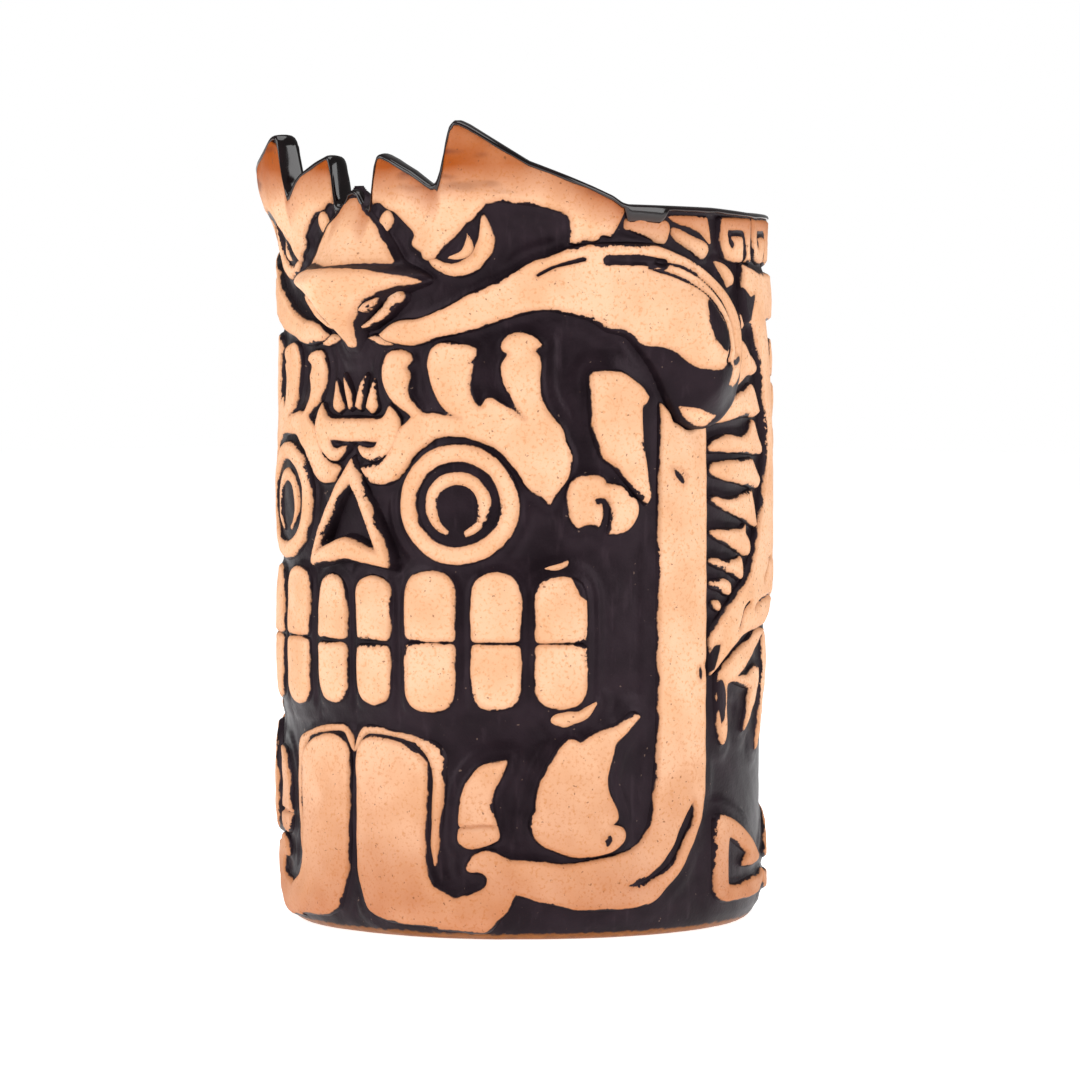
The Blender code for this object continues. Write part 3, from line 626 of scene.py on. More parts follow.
# %% Nostrils
NOSTRIL_WING = ((3.4, 108.1, 1), (5.2, 108.9), (7.3, 110.5), (8.9, 112.2), (10.1, 114), (11, 114.7),
                (12, 114.5), (12.5, 113.4), (11.3, 112.1), (9.7, 110.6), (7.7, 109.3), (5.7, 108.3))
NOSTRIL_SLIT = ((4.6, 110.9, 1), (5.3, 112.1), (6.5, 112.6), (8.5, 113.2, 1), (8.0, 112.3), (6.5, 111.2))
LIP_LEAF = ((4.4, 106.3, 1), (6.6, 106.6), (9.4, 105.2, 1), (7.0, 105.2))
sprig_pair("nostril_wing", [NOSTRIL_WING], in_cad=False, top=2.8, grid=0.3)
sprig_pair("nostril_slit", [NOSTRIL_SLIT], in_cad=False, top=5.0, grid=0.3)
sprig_pair("lip_leaf", [LIP_LEAF], in_cad=False, top=1.2)

# %% [markdown]
# ### Brow and eyes of the helmet
# The brow is a broad pad that runs up into the crown and is trimmed by the rim itself, so its grid is
# stretched to end just below the lip. The eyelid is a hook of clay that shades a small slanting iris.

# %% The brow
HELMET_BROW = (
    (3.4, 129.2, 1), (5.0, 129.9), (7.0, 130.3), (8.7, 129.2), (10.5, 128.5), (12, 127.2), (13.5, 125.7),
    (14.3, 124.3), (13.9, 122.8), (14.7, 122), (15.6, 121.4), (16.0, 120.4), (17.1, 120.2), (18, 120.7),
    (20, 122.5), (22, 124.5), (24, 126.5), (25, 127.2), (26.4, 128.9), (27.2, 129.7), (29.3, 130.3),
    (32, 130), (35, 129.6), (38, 129), (40, 128.2), (41, 127.2), (41.3, 125.4), (41.3, 123, 1), (42.6, 122.9),
    (43.5, 123.5), (46, 123.5), (46.6, 124.3), (48.4, 124.1, 1), (49.3, 126), (50.3, 128.4), (50.8, 130.5, 1),
    (46, 140, 1), (22, 150, 1), (3.4, 142, 1),
)
BROW_BEAD = ((7.1, 126.6), (7.5, 127.7), (8.7, 128.6), (9.5, 128.3), (9.9, 127.2), (9.4, 125.8), (8.5, 125.0),
             (7.6, 125.5))


def brow_lift(u, z, inset):
    """The pad thins where it rolls over into the lip."""
    below = (rim_height(u) - z) / rim_steepness(u)
    return 0.85 + 0.5 * soft_step(below, 0.4, 2.4)


sprig_pair("helmet_brow", [HELMET_BROW], to_rim=True, lift=brow_lift, grid=0.35)
sprig_pair("brow_bead", [BROW_BEAD], in_cad=False, top=1.1, grid=0.3)

# %% The helmet's eye
EYELID = (
    (17.0, 119.9, 1), (17.9, 118.7), (19.5, 117.8), (21, 117.3), (22.7, 117.2), (24.5, 117.7), (26, 118.8),
    (27.3, 120.3), (28.1, 122), (28.3, 123.5), (28, 125), (27.3, 126.3), (26.7, 127.7, 1), (26.2, 125.6),
    (25.7, 123.2), (24.9, 121.0), (23.6, 119.9), (22, 119.2), (20, 119.1), (18.3, 119.8),
)
HELMET_IRIS = (
    (23.8, 124.7, 1), (24.5, 123.6), (24.9, 121.9), (24.2, 120.7), (22.8, 120.1), (21.5, 119.9),
    (19.9, 120.3, 1), (21.3, 120.9), (22.6, 121.5), (23.3, 122.6),
)
sprig_pair("helmet_eyelid", [EYELID], top=1.3)
sprig_pair("helmet_iris", [HELMET_IRIS], in_cad=False, top=0.8)

# %% [markdown]
# ### The rolled lip
# The lip's clay is wider than what was wiped bare: its underside rolls away from the sponge and stays dark.
# So it has two outlines, one for the form and one for the buff part, which share their upper edge.

# %% The upper lip
LIP_TOP = (
    (7.2, 106.8, 1), (8.5, 107.8), (11, 109), (15, 109.4), (20, 111.4), (24, 113.6), (28, 115.3), (32, 117.6),
    (35, 119.4), (38, 120.3), (41.3, 121.7), (46, 122.4),
)
LIP_BUFF = (
    *LIP_TOP, (49.8, 122.4), (52.5, 122.5), (57.1, 122.1), (61.1, 120.8), (65.3, 119), (67.3, 117.7),
    (69.3, 116), (71.3, 113.8), (74, 110), (74.9, 106), (74.8, 102), (74.2, 99.5), (72.1, 97.8),
    (69.4, 98, 1), (70.6, 100.7, 1), (69, 102.2), (68.1, 101.8), (66.8, 101), (63.4, 101), (62, 101.7),
    (59.3, 103.7), (56.6, 104.9), (53.9, 105.4), (51.6, 107.3), (50.5, 107.9), (48, 107.9), (45, 109.7),
    (41, 110.8), (37, 111.4), (35, 111.1), (31, 110.1), (27, 108.8), (25, 108), (19, 106.7), (14, 105.3),
    (12, 105.4), (8.5, 106),
)
LIP_FORM = (
    *LIP_TOP, (52.5, 122.5), (57.1, 122.1), (61.1, 120.8), (65.3, 119), (69.3, 116), (72.6, 112.6),
    (74.5, 109), (75.3, 104), (74.9, 99), (74.1, 95.2), (71.4, 92.2), (67.4, 90.6), (62.6, 91.6),
    (59.4, 96.0), (56.6, 101), (53.9, 104.6), (51.6, 106.9), (48, 107.9), (45, 109.7), (41, 110.8),
    (37, 111.4), (31, 110.1), (25, 108), (19, 106.7), (14, 105.3), (8.5, 106),
)
LIP_GROOVES = (
    (((48, 119.9), (51.6, 119.9), (55.2, 119.7), (58, 119.3)), 2.1),
    (((57.1, 119.7), (58.9, 119.3), (61.6, 118.7), (64.3, 117.3), (66.3, 115.7), (68.3, 113.5), (69.8, 111.5),
      (71.1, 109), (71.6, 106.5), (71.8, 103.6)), 0.75),
    (((55.2, 118.5), (58.9, 117.4), (61.6, 116.2), (63.4, 115.2), (65.3, 113.8), (66.8, 112), (68.3, 110),
      (69.3, 108), (69.7, 105.5), (69.3, 103.4), (68.6, 102.2)), 0.8),
    (((35.8, 117.2), (38, 118.4), (40, 119.1), (43.7, 120.0)), 0.9),
)
LIP_CRESCENT = ((60.9, 94.2, 1), (64.6, 93.5), (69.0, 92.4, 1), (66.8, 91.0), (64, 91.2), (62.2, 92.3))
LIP_SMEARS = (
    ((65.7, 113.6, 1), (64.1, 112.6), (64.3, 109.4), (65.3, 106.2), (68.3, 103.8), (69.1, 106.2),
     (68.1, 108.8), (67.0, 111.2)),
    ((70.9, 102.2), (73.9, 103.2), (74.1, 101.9, 1), (71.1, 101.2, 1)),
)


def lip_lift(u, z, inset):
    """The lip stands higher towards the mouth's corner, where it rolls."""
    roll = soft_step(u, 44, 66)
    return RELIEF + 0.3 + roll * (1.2 + 2.6 * soft_step(inset, 0, 9.0))


wiped_lip = [LIP_BUFF, LIP_CRESCENT]
sprig_pair("upper_lip", [LIP_FORM], lift=lip_lift, buff=wiped_lip, stains=LIP_SMEARS, grooves=LIP_GROOVES)

# %% [markdown]
# ## The skull inside the jaws
# The face is a stylised skull: a brow that breaks into three fangs on each side, round eyes, a triangular
# nose under a horned bar, and two rows of teeth. Teeth are alike in shape, so one function draws them all.

# %% Brow, fangs and ear
SKULL_BROW = (
    (3.3, 83.2, 1), (5, 83.6), (6.9, 84.1), (8.6, 85.4), (9.8, 87.4), (10.6, 89.4), (11.3, 90.3),
    (12.8, 91.4), (13.9, 92.5, 1), (11.5, 94), (10, 95), (8.7, 96.8), (7.9, 98.7), (7.7, 100.5), (7.9, 101.8),
    (9, 103.6), (11, 103.9), (13, 103.2), (13.5, 102.3, 1), (12.3, 101.2), (12.9, 99.5), (12.6, 97.5),
    (13, 96), (14, 94.5), (15.6, 92.9), (17.5, 92.9), (19.5, 92.6), (22.6, 92.1, 1), (20, 93.7), (18.5, 95.5),
    (17.5, 97.5), (17, 99.5), (16.7, 101.8), (17.5, 104.2), (19.4, 105.3), (22, 105), (24.9, 104.2),
    (25.1, 103.2, 1), (24, 101.9, 1), (24.6, 101.5), (24.1, 98.5), (24.7, 95.4), (26, 94), (27.3, 95.5),
    (30.3, 94.3), (33.6, 92, 1), (31.8, 95), (30.7, 97), (30, 99), (29.7, 101.2), (30.9, 103.4, 1),
    (29.8, 104.7), (31.3, 106.6), (34.8, 106.6), (36.4, 105, 1), (35.1, 104.1), (36.1, 102.5), (36, 99.5),
    (36.5, 95.8), (38, 92.5), (39.8, 90.5), (40.5, 88.3), (41.6, 85.5), (41, 82), (39, 79), (37.8, 77.2, 1),
    (36.5, 78.6), (34.3, 80), (32.5, 82.7), (30, 85.8), (28, 87.5), (24, 89), (22, 89.2), (18.5, 89),
    (15.5, 87), (14.3, 86), (12, 83), (10.2, 81.3), (8.7, 80.7), (6.8, 80.6), (5.3, 81), (4.2, 82.1),
)
UPPER_FANG = (
    (45, 97), (45, 99.5), (45.5, 100.2, 1), (50, 100.1), (51.5, 99.3), (53, 98.2), (54.2, 97.2),
    (55.2, 95.8, 1), (54.5, 94.8), (53.9, 94.5), (53.8, 92.5), (54.2, 87), (54.7, 84), (55.3, 81), (56, 78.5),
    (55.3, 77.2, 1), (53, 79.2), (51.7, 80.8), (50.3, 82.5), (48.7, 84.2), (47.3, 85.2), (46.6, 86.5),
    (45.9, 88.5), (45.3, 91),
)
EAR_CURL = (
    (41.5, 75.5), (41, 77.5), (41, 79), (41.5, 80.5), (42.5, 81.6), (43.5, 81.9), (46.3, 81.8), (47.2, 81.2),
    (47.5, 80.4, 1), (50, 80.2), (51, 79.6), (52, 78.5), (53, 77.8), (53.6, 76.5), (53.5, 75), (52.2, 73),
    (50.2, 72), (48.5, 72, 1), (48.8, 75), (48.8, 76.5), (47.7, 78.2), (45.5, 78.2, 1), (46, 76.8, 1),
    (46.9, 76.9, 1), (47.1, 75), (46.5, 73.2, 1), (44.6, 73.8), (42.7, 73.1, 1), (42, 74),
)
sprig_pair("skull_brow", [SKULL_BROW])
sprig_pair("upper_fang", [UPPER_FANG], top=2.0)
sprig_pair("ear_curl", [EAR_CURL])

# %% [markdown]
# ### Eyes and nose
# Each eye is two rings of clay, pressed from plain circles, and the inner one was left open at its foot. A
# ring is an outline with a hole. The nose is a frame that stands out more towards its base.

# %% Eyes
EYE_CENTRE = (22.1, 77.0)
EYE_RINGS = ((10.35, 7.7), (5.6, 3.8))
IRIS_ENDS = (-74, 250)


def open_ring(centre, outer, inner, ends, count=24):
    """A C-shaped outline between two bearings in degrees, narrowing to a point at each end."""
    turns = np.radians(np.linspace(*ends, count))
    narrow = 1 - np.minimum(np.linspace(0, 5, count), np.linspace(5, 0, count)).clip(0, 1)
    bores = inner + 0.7 * (outer - inner) * narrow
    rim = [(centre[0] + outer * math.cos(t), centre[1] + outer * math.sin(t)) for t in turns]
    bore = [(centre[0] + r * math.cos(t), centre[1] + r * math.sin(t)) for t, r in zip(turns, bores)]
    return tuple((*place, 1) for place in rim + bore[::-1])


sprig_pair("eye_ring", [circle(EYE_CENTRE, EYE_RINGS[0][0])], holes=[circle(EYE_CENTRE, EYE_RINGS[0][1])])
sprig_pair("iris_ring", [open_ring(EYE_CENTRE, *EYE_RINGS[1], IRIS_ENDS)], top=1.1)

# %% Nose
NOSE_OUTER = ((0, 84.9, 1), (1.6, 82.4), (3.4, 79.6), (5.2, 76.0), (7.0, 72.2), (9.0, 66.9), (8.8, 65.9, 1),
              (5, 66.6), (0, 67.3))
NOSE_HOLE = ((0, 80.9, 1), (2.8, 76.8), (5.0, 72.4), (6.9, 68.4, 1), (4.6, 69.2), (0, 70.7))
NOSE_BAR = (
    (0, 91.8), (6.6, 92.0), (8.3, 94.4, 1), (9.6, 92.6), (10.3, 90.4), (9.7, 88.3), (8.2, 86.2), (6, 84.8),
    (4.5, 84.6), (3.3, 84.9), (2, 86), (1.5, 87, 1), (2.8, 86.7), (4, 86.5), (5.2, 86.9), (5.9, 88.2, 1),
    (0, 88.1),
)
SLIPS = (
    ((1.3, 94.2, 1), (2.1, 97.4), (3.6, 99.6, 1), (3.0, 96.3), (2.2, 93.8, 1)),
    ((3.8, 94.1, 1), (4.6, 96.6), (5.5, 98.8, 1), (6.0, 95.8), (6.1, 94), (5.0, 93.2, 1)),
)


def nose_lift(u, z, inset):
    """The nose stands out more towards its base."""
    return RELIEF + 1.6 * (1 - soft_step(z, 64, 84))


nostril = [both_sides(NOSE_HOLE)]
sprig("nose_triangle", [both_sides(NOSE_OUTER)], ["nose_triangle"], holes=nostril, lift=nose_lift)
sprig("nose_bar", [both_sides(NOSE_BAR)], ["nose_bar"])
for number, slip in enumerate(SLIPS, 1):
    sprig_pair(f"tooth_slip_{number}", [slip], in_cad=False, top=1.0)

# %% [markdown]
# ### Teeth
# Upper and lower teeth meet in pairs. A potter would press them all in one small mould, so they share a
# shape: nearly square at the bite and round at the root, with only their sizes set tooth by tooth.

# %% Teeth
# Each row is a tooth's centre and width, then the foot and top of its upper tooth and of its lower tooth.
TEETH = ((5.8, 7.1, 53.0, 64.1, 41.4, 51.8), (17.0, 8.8, 53.1, 64.9, 40.7, 52.3),
         (28.7, 8.1, 53.0, 64.8, 41.1, 52.3), (39.9, 8.6, 53.0, 64.1, 41.4, 52.2))
TOOTH_WEAR = ((41.2, 64.6, 1), (42.2, 62.6), (43.2, 60.8), (45.4, 59.6, 1), (45.4, 64.8, 1))


def tooth(centre, width, bottom, top, rounded_top):
    """A tooth's outline, nearly square at the bite and round at its root."""
    bite, root, out = (bottom, top, 1) if rounded_top else (top, bottom, -1)
    half = width / 2
    side = ((half - 0.9, bite), (half - 0.2, bite + 0.25 * out), (half, bite + 1.0 * out),
            (half, root - 3.3 * out), (half - 0.95, root - 0.95 * out), (half - 3.1, root))
    return tuple((centre + x, z) for x, z in side) + tuple((centre - x, z) for x, z in reversed(side))


for number, (centre, width, upper_low, upper_high, lower_low, lower_high) in enumerate(TEETH, 1):
    worn = [TOOTH_WEAR] if number == len(TEETH) else []
    upper = tooth(centre, width, upper_low, upper_high, True)
    lower = tooth(centre, width, lower_low, lower_high, False)
    sprig_pair(f"upper_tooth_{number}", [upper], top=1.3, stains=worn)
    sprig_pair(f"lower_tooth_{number}", [lower], top=1.3)

# %% [markdown]
# ## The lower jaw
# A flat band runs down each side of the face, turns under the chin and ends in a curl. Inside it stand two
# fangs, and in the middle the tongue hangs in two halves with a raised line round each.

# %% Jaw band
JAW_BAND = (
    (58.3, 94.5, 1), (60, 93), (61, 91.2), (62.5, 90.6), (64, 89.8), (65.5, 89.7), (66.8, 90.6),
    (68.6, 91.5, 1), (68.8, 80), (68.8, 60), (68.7, 40), (68.7, 30), (68.5, 25), (67.7, 21), (66.5, 18),
    (64.5, 14.5), (62.5, 11.5), (60, 9.3), (57, 6.8), (54, 6.1), (50, 5.7), (46, 5.7), (42, 6), (38, 6.9),
    (35, 7.7), (32, 8.5, 1), (31.2, 7), (30.5, 5.8), (29, 4.2), (27.5, 2.2), (26, 1.7), (22, 1.9),
    (18.2, 2.2, 1), (18.2, 7.7, 1), (21.5, 7.4), (22.7, 7.8), (25.5, 8.6), (26.8, 9.4), (27.2, 10.4),
    (27.1, 11.5), (26, 12.3), (24.4, 12.4), (23.6, 12.9), (24.3, 14.5), (25.5, 15.5), (27, 16), (28.5, 15.8),
    (31, 14.3), (35, 14.1), (41, 13.4), (44, 13.9), (50, 15), (52, 15.5), (54, 16.7), (55.5, 18.5),
    (56.5, 21), (57.2, 25), (57.8, 31), (58, 36), (58.1, 50), (58.1, 80),
)
JAW_SLOT = ((51.8, 9.6, 1), (53, 9.4), (56, 9.9), (60, 12), (62.2, 14.2), (64, 17.4), (66.1, 21),
            (65.6, 24.2, 1), (63.0, 20.2), (61, 16.4), (58, 12.8), (55, 10.9))
JAW_CHIPS = (
    ((66.4, 47.6), (67.4, 47.9), (67.8, 45.9), (67.0, 45.2)),
    ((68.1, 47.9), (69.4, 49.4), (69.4, 45.4)),
    ((60.4, 83.3), (61.3, 83.2), (63.5, 80.7), (62.9, 80.1)),
    ((62.0, 83.2), (62.7, 82.9), (63.6, 81.7)),
)
sprig_pair("jaw_band", [JAW_BAND], holes=[JAW_SLOT], stains=JAW_CHIPS)

# %% [markdown]
# ### Fangs and tongue
# These are cut freehand with a knife, so each has its own outline. The fangs stand a little prouder than the
# jaw, and a notch pressed across the small one marks its gum. A thin line follows each half of the tongue.

# %% Fangs and tongue
BIG_FANG = (
    (35.6, 23), (35.7, 25), (36.3, 27.5), (37.5, 30.3), (39, 33), (41, 35.5), (42, 35.6), (43, 35.1, 1),
    (46, 36.6), (49.8, 37.9), (51.5, 39), (53, 39.9), (54, 39.5, 1), (52.2, 37.5), (50.5, 36), (49.3, 34.7),
    (48.7, 32.7), (48, 30.5), (47.7, 28.5), (48, 26.5), (49.5, 22.8), (49.6, 21.5), (48.5, 20.6, 1),
    (50.5, 19.8), (51.1, 18.7), (50.7, 17.5), (49.5, 16.3), (48, 15.6), (43.5, 15.1), (41, 15.5),
    (38.5, 16.5), (37, 17.2), (35.7, 18.3), (34.7, 20.5), (35, 22),
)
SMALL_FANG = (
    (22.3, 21.5), (22.4, 24), (23, 26.5), (24, 28.5), (25.5, 30.3), (27, 31.2), (30.4, 31.8, 1), (30, 30.4),
    (28.8, 28), (28.1, 26), (27.9, 24), (28.4, 21.2), (28.9, 19.6), (29.2, 18.7), (28.8, 17.9), (25.5, 16.8),
    (24, 16.7), (22.2, 17.6), (22.2, 19.6),
)
TONGUE = (
    (2, 33), (1.9, 25), (2, 15), (2.3, 11), (3, 8.5), (3.9, 6), (5, 4.6), (8.5, 3.2), (15, 2.8),
    (21.4, 2.1, 1), (21.4, 7.4, 1), (17.8, 9.3), (16.8, 10.8), (16.2, 12.5), (16, 15), (16.1, 24),
    (16.2, 30.7), (15.3, 32.2), (13, 33.9), (11, 34.7), (7, 35.4), (4.5, 35.3), (3.3, 34.7),
)
TONGUE_LINE = (
    (0.9, 32.8, 1), (1.6, 35.0), (3.4, 37.2), (6, 37.2), (9.4, 36.6), (13, 35.9), (16.5, 34.9), (18, 34.2),
    (18.9, 32.8), (19.2, 30.6), (18.9, 24), (18.2, 17.6), (17.7, 13.4, 1), (17.1, 17.4), (17.4, 25),
    (17.3, 29.4), (16.2, 32.8), (13.6, 34.9), (9.4, 36.0), (5.4, 36.3), (3.2, 35.9), (1.9, 33.6),
)
CHIN_LEAF = ((38.3, 39.3), (41, 40.4), (42.5, 40.4), (46.1, 42, 1), (44.5, 39.7), (41.5, 38.4), (40, 38.0))
FANG_SPOT = ((46.9, 18.4), (47.5, 18.1), (48.0, 19.0), (48.7, 18.0), (48.4, 17.2), (47.7, 16.7), (47.3, 17.4))
FANG_NOTCH = (((28.6, 20.4), (26.5, 20.45), (24.5, 20.3), (22.0, 20.2)), 0.45)
GUM_SPOT = ((37.2, 65.8, 1), (39.2, 66.3), (41.0, 66.9, 1), (40.8, 66.3), (39.0, 65.6))
sprig_pair("big_fang", [BIG_FANG], top=1.8, stains=[FANG_SPOT])
sprig_pair("small_fang", [SMALL_FANG], grooves=[FANG_NOTCH])
sprig_pair("gum_spot", [GUM_SPOT], in_cad=False, top=0.6, grid=0.3)
sprig_pair("tongue", [TONGUE])
sprig_pair("tongue_line", [TONGUE_LINE], in_cad=False, top=0.9)
sprig_pair("chin_leaf", [CHIN_LEAF], in_cad=False, top=1.0)

# %% [markdown]
# ## The wings
# Feathers fan back from each jaw band to a broad curved band, and ribbons and hooked triangles fill the lower
# back. Every feather is drawn in its own outline, because a hand-modelled fan has no two alike.

# %% Feathers
FEATHERS = (
    ((77, 105.8, 1), (79.7, 105.4), (83.2, 103.4), (86.7, 101.4), (86.7, 100.2), (81.8, 99.4),
     (77.8, 97.9, 1)),
    ((71, 91.2, 1), (73.2, 92.9), (76, 95.0), (78, 95.9), (81, 96.6), (84.2, 97.8), (85.4, 97.2), (87, 95.2),
     (88.4, 93.6), (89.2, 92.9, 1), (86.4, 92.3), (82, 92.4), (76, 91.8)),
    ((69.3, 86.5), (70.4, 87.8), (72, 88.3), (76, 88.8), (80, 88.4), (82.8, 89.2), (84.4, 90.8),
     (85.6, 91.2, 1), (88, 88.6), (90.3, 86.4), (90, 85.4, 1), (87, 85.4), (80, 85.8), (72, 86.1)),
    ((69.7, 82.5), (70.6, 83.7), (72, 83.9), (78, 84.2), (84.8, 84.4, 1), (87.4, 82.0), (88.8, 80.6),
     (88.2, 79.4, 1), (85.4, 79.4), (80, 80.3), (73, 81.4)),
    ((70.2, 77.3), (71.2, 77.9), (74, 77.3), (80, 77.7), (82.6, 78.4), (84.4, 78.7, 1), (86, 75.6),
     (87.6, 72.2, 1), (84.8, 72.6), (81, 73.8), (75, 75.6)),
    ((70.2, 71.5), (72, 71.9), (76, 71.8), (80, 71.8), (81.6, 72.6, 1), (81.4, 71.4), (83.2, 69.8),
     (83.7, 68.4), (83.2, 67.3), (81.8, 67.3), (76, 69.2)),
    ((70.1, 66.4), (72, 66.7), (75, 66.2), (78.6, 66.5), (79.8, 66.7), (80.5, 65), (80.6, 63.6), (79.8, 63.0),
     (78.4, 63.4), (75, 64.8)),
    ((70.1, 62.4), (72, 62.9), (74.6, 62.8), (76, 62.2), (76.1, 60.8), (75.3, 60.4), (73, 61.3)),
    ((70.7, 58.9), (71.8, 59.2), (72.5, 58.9), (72.7, 58.0), (72, 57.8)),
)
CAD_FEATHERS = 5
for number, feather in enumerate(FEATHERS, 1):
    sprig_pair(f"feather_{number}", [feather], in_cad=number <= CAD_FEATHERS)

# %% [markdown]
# ### The band and the plumes behind it
# The feathers spring from a broad band that sweeps round behind them and turns back under the rim. Behind
# it a stack of plumes covers the back. They are nearly alike, so one function draws each from its place in
# the stack.

# %% Feather band
FEATHER_BAND = (
    (79.7, 119.2, 1), (79.6, 116.8), (79.4, 114.6), (81.2, 109.6), (83.6, 108.3), (85, 106.2), (87.6, 102.5),
    (89.6, 97), (91.2, 92), (91.8, 86), (90.8, 80), (89.2, 75.2), (86.8, 71.4), (86, 69.2), (84.6, 66.6),
    (82.5, 63.8), (79, 61), (75, 58.0), (71.4, 55), (69.6, 52.6), (69.7, 46.4, 1), (72, 48.0), (75, 50.2),
    (80, 53.0), (86, 53.9), (92, 55.2), (96, 60), (98.2, 70), (98.6, 80), (98, 90), (96.8, 98),
    (93.8, 105), (91.2, 109.8, 1), (95.8, 109.9), (105.5, 109.8), (114, 110.4), (121, 112.2),
    (125.5, 114.6, 1), (120, 117.2), (112, 118.0), (99, 117.7), (86.8, 117.9),
)
BAND_STAINS = (
    ((79, 115.4), (80.8, 114.6), (82, 113.9, 1), (84, 114.3, 1), (83, 110.2), (81.2, 109.0), (78.8, 110.4)),
    ((70.4, 51.6), (72.3, 51.8, 1), (70.9, 48.6), (69.6, 46.6), (68.6, 48), (69.4, 50.4)),
)
BAND_GROOVES = (
    (((78.6, 54.2), (79.4, 56.2), (80.8, 57.8), (82.4, 58.7)), 0.8),
    (((84.6, 57.4), (86.2, 58.2), (90, 59.0), (96, 59.6)), 0.6),
    (((89.8, 62.4), (91.2, 63.8), (93, 65.8), (96, 66.6)), 0.8),
)
sprig_pair("feather_band", [FEATHER_BAND], stains=BAND_STAINS, grooves=BAND_GROOVES, top=2.0)

# %% Plumes down the back
PLUMES = 6
PLUME_PITCH = 8.0
LOWEST_PLUME = 59.5


def plume(step):
    """One of a stack of broad plumes that sweep from the feather band to the centre of the back."""
    low = LOWEST_PLUME + step * PLUME_PITCH
    near = 98.9 + 1.4 * (1 - ((low - 78) / 22) ** 2)
    return ((near + 1.6, low + 0.3), (near, low + 3.0), (near + 0.2, low + 5.6), (near + 2.4, low + 6.6),
            (117, low + 4.6), (128, low + 5.8), (135.7, low + 9.6, 1), (135.7, low + 3.0, 1),
            (128, low - 0.6), (115, low - 1.8))


for step in range(PLUMES):
    sprig_pair(f"plume_{step + 1}", [plume(step)], in_cad=False, top=2.0, grid=0.6)

# %% [markdown]
# ### Small trim
# Ribbons, a strip and leaves fill the gaps between the larger ornaments, as a modeller fills a ground so
# that no bare patch is left. Below them stand hooked triangles, the second one a mirror image of the first.

# %% Ribbons, strips and small leaves
BACK_RIBBON = (
    (71.9, 46.4, 1), (75, 48), (78, 49.8), (82, 51.3), (86, 53), (89, 53.4), (92.6, 53.3, 1), (88, 51.2),
    (82, 47.4), (78.4, 45.4, 1), (83, 45.6), (86.4, 46.8), (88.8, 46.4), (88.6, 44.2), (86, 40.4),
    (82.6, 36.6), (81.2, 35.6, 1), (82.6, 39.4), (84.2, 43.2, 1), (79.4, 44.2), (77.2, 44.8), (75.4, 44.4),
    (74.8, 43.4), (74.9, 36), (74.2, 33.8), (73.4, 33.9), (72.4, 36.6), (72.0, 41),
)
RIBBON_STAINS = (((71.4, 44.6), (73.4, 45.2), (74.4, 42.0), (73.2, 37.0), (72.2, 39.4), (71.6, 42)),)
BACK_STRIP = ((92.6, 52.8), (94.6, 52.2), (95.6, 48), (94.8, 44), (92.4, 38), (89.4, 32.6), (88.4, 31.8, 1),
              (88.4, 34.6), (90.4, 40), (91.8, 46))
EDGE_LEAF = ((71.2, 119.8, 1), (74.2, 119.2), (76.6, 118.2), (77.6, 117.0), (76.8, 116.0), (74.6, 115.4, 1),
             (73.6, 117.0))
SMALL_LEAF = ((79.4, 110.6, 1), (81.2, 110.2), (82.6, 109.6), (81.8, 108.6), (80.7, 108.0, 1))
sprig_pair("back_ribbon", [BACK_RIBBON], in_cad=False, stains=RIBBON_STAINS)
sprig_pair("back_strip", [BACK_STRIP], in_cad=False, top=1.2)
sprig_pair("edge_leaf", [EDGE_LEAF], in_cad=False, top=1.0)
sprig_pair("small_leaf", [SMALL_LEAF], in_cad=False, top=0.8)

# %% Hooked triangles
SPIRAL = (
    (71.6, 19.8), (72.2, 20.6), (73.6, 20.8), (75, 20.4), (80, 18.4), (85.5, 15.2), (89.4, 12.2, 1),
    (88.0, 11.4), (84, 11.1), (81.0, 11.4, 1), (83.6, 13.4, 1), (78.5, 15.7), (76.4, 16.8), (75.7, 16.4),
    (75.4, 13), (75.3, 9), (75.8, 7.9), (80, 7.8), (86, 8.5), (89, 8.4), (92.4, 9.2, 1), (91.4, 7.0),
    (88.0, 5.6), (80, 5.4), (75, 5.4), (72.6, 6.0), (71.7, 7.4),
)
sprig_pair("triangle_spiral", [SPIRAL])
NEIGHBOUR = mirrored(SPIRAL, 93.0)
sprig_pair("second_spiral", [NEIGHBOUR], in_cad=False)

# %% [markdown]
# ## Blocks round the back of the rim
# Step-fret blocks stand side by side round the back of the rim, all alike. One block is modelled flat, and a
# Geometry Nodes tree sets copies of it along a line. The realised row is then wrapped round the wall like
# everything else.

# %% One fret block
FRET_START = 71.7
FRET_BLOCKS = 11
FRET_PITCH = 2 * (HALF_TURN - FRET_START + MIRROR_AXIS) / FRET_BLOCKS
FRET_GAP = 1.3
FRET_OUTLINE = (
    (0.2, 127.4, 1), (10.8, 127.4, 1), (11.0, 124.6), (11.4, 121.6), (11.7, 119.7, 1), (9.6, 120.2),
    (6.0, 120.0), (2.6, 120.6), (1.2, 121.8), (0.5, 124.6),
)
FRET_GROOVES = (
    (((9.2, 119.4), (8.9, 121.6), (8.2, 124.0), (7.6, 124.9), (3.3, 124.9)), 1.5),
    (((3.3, 124.9), (3.5, 123.6), (4.1, 122.9)), 1.4),
)


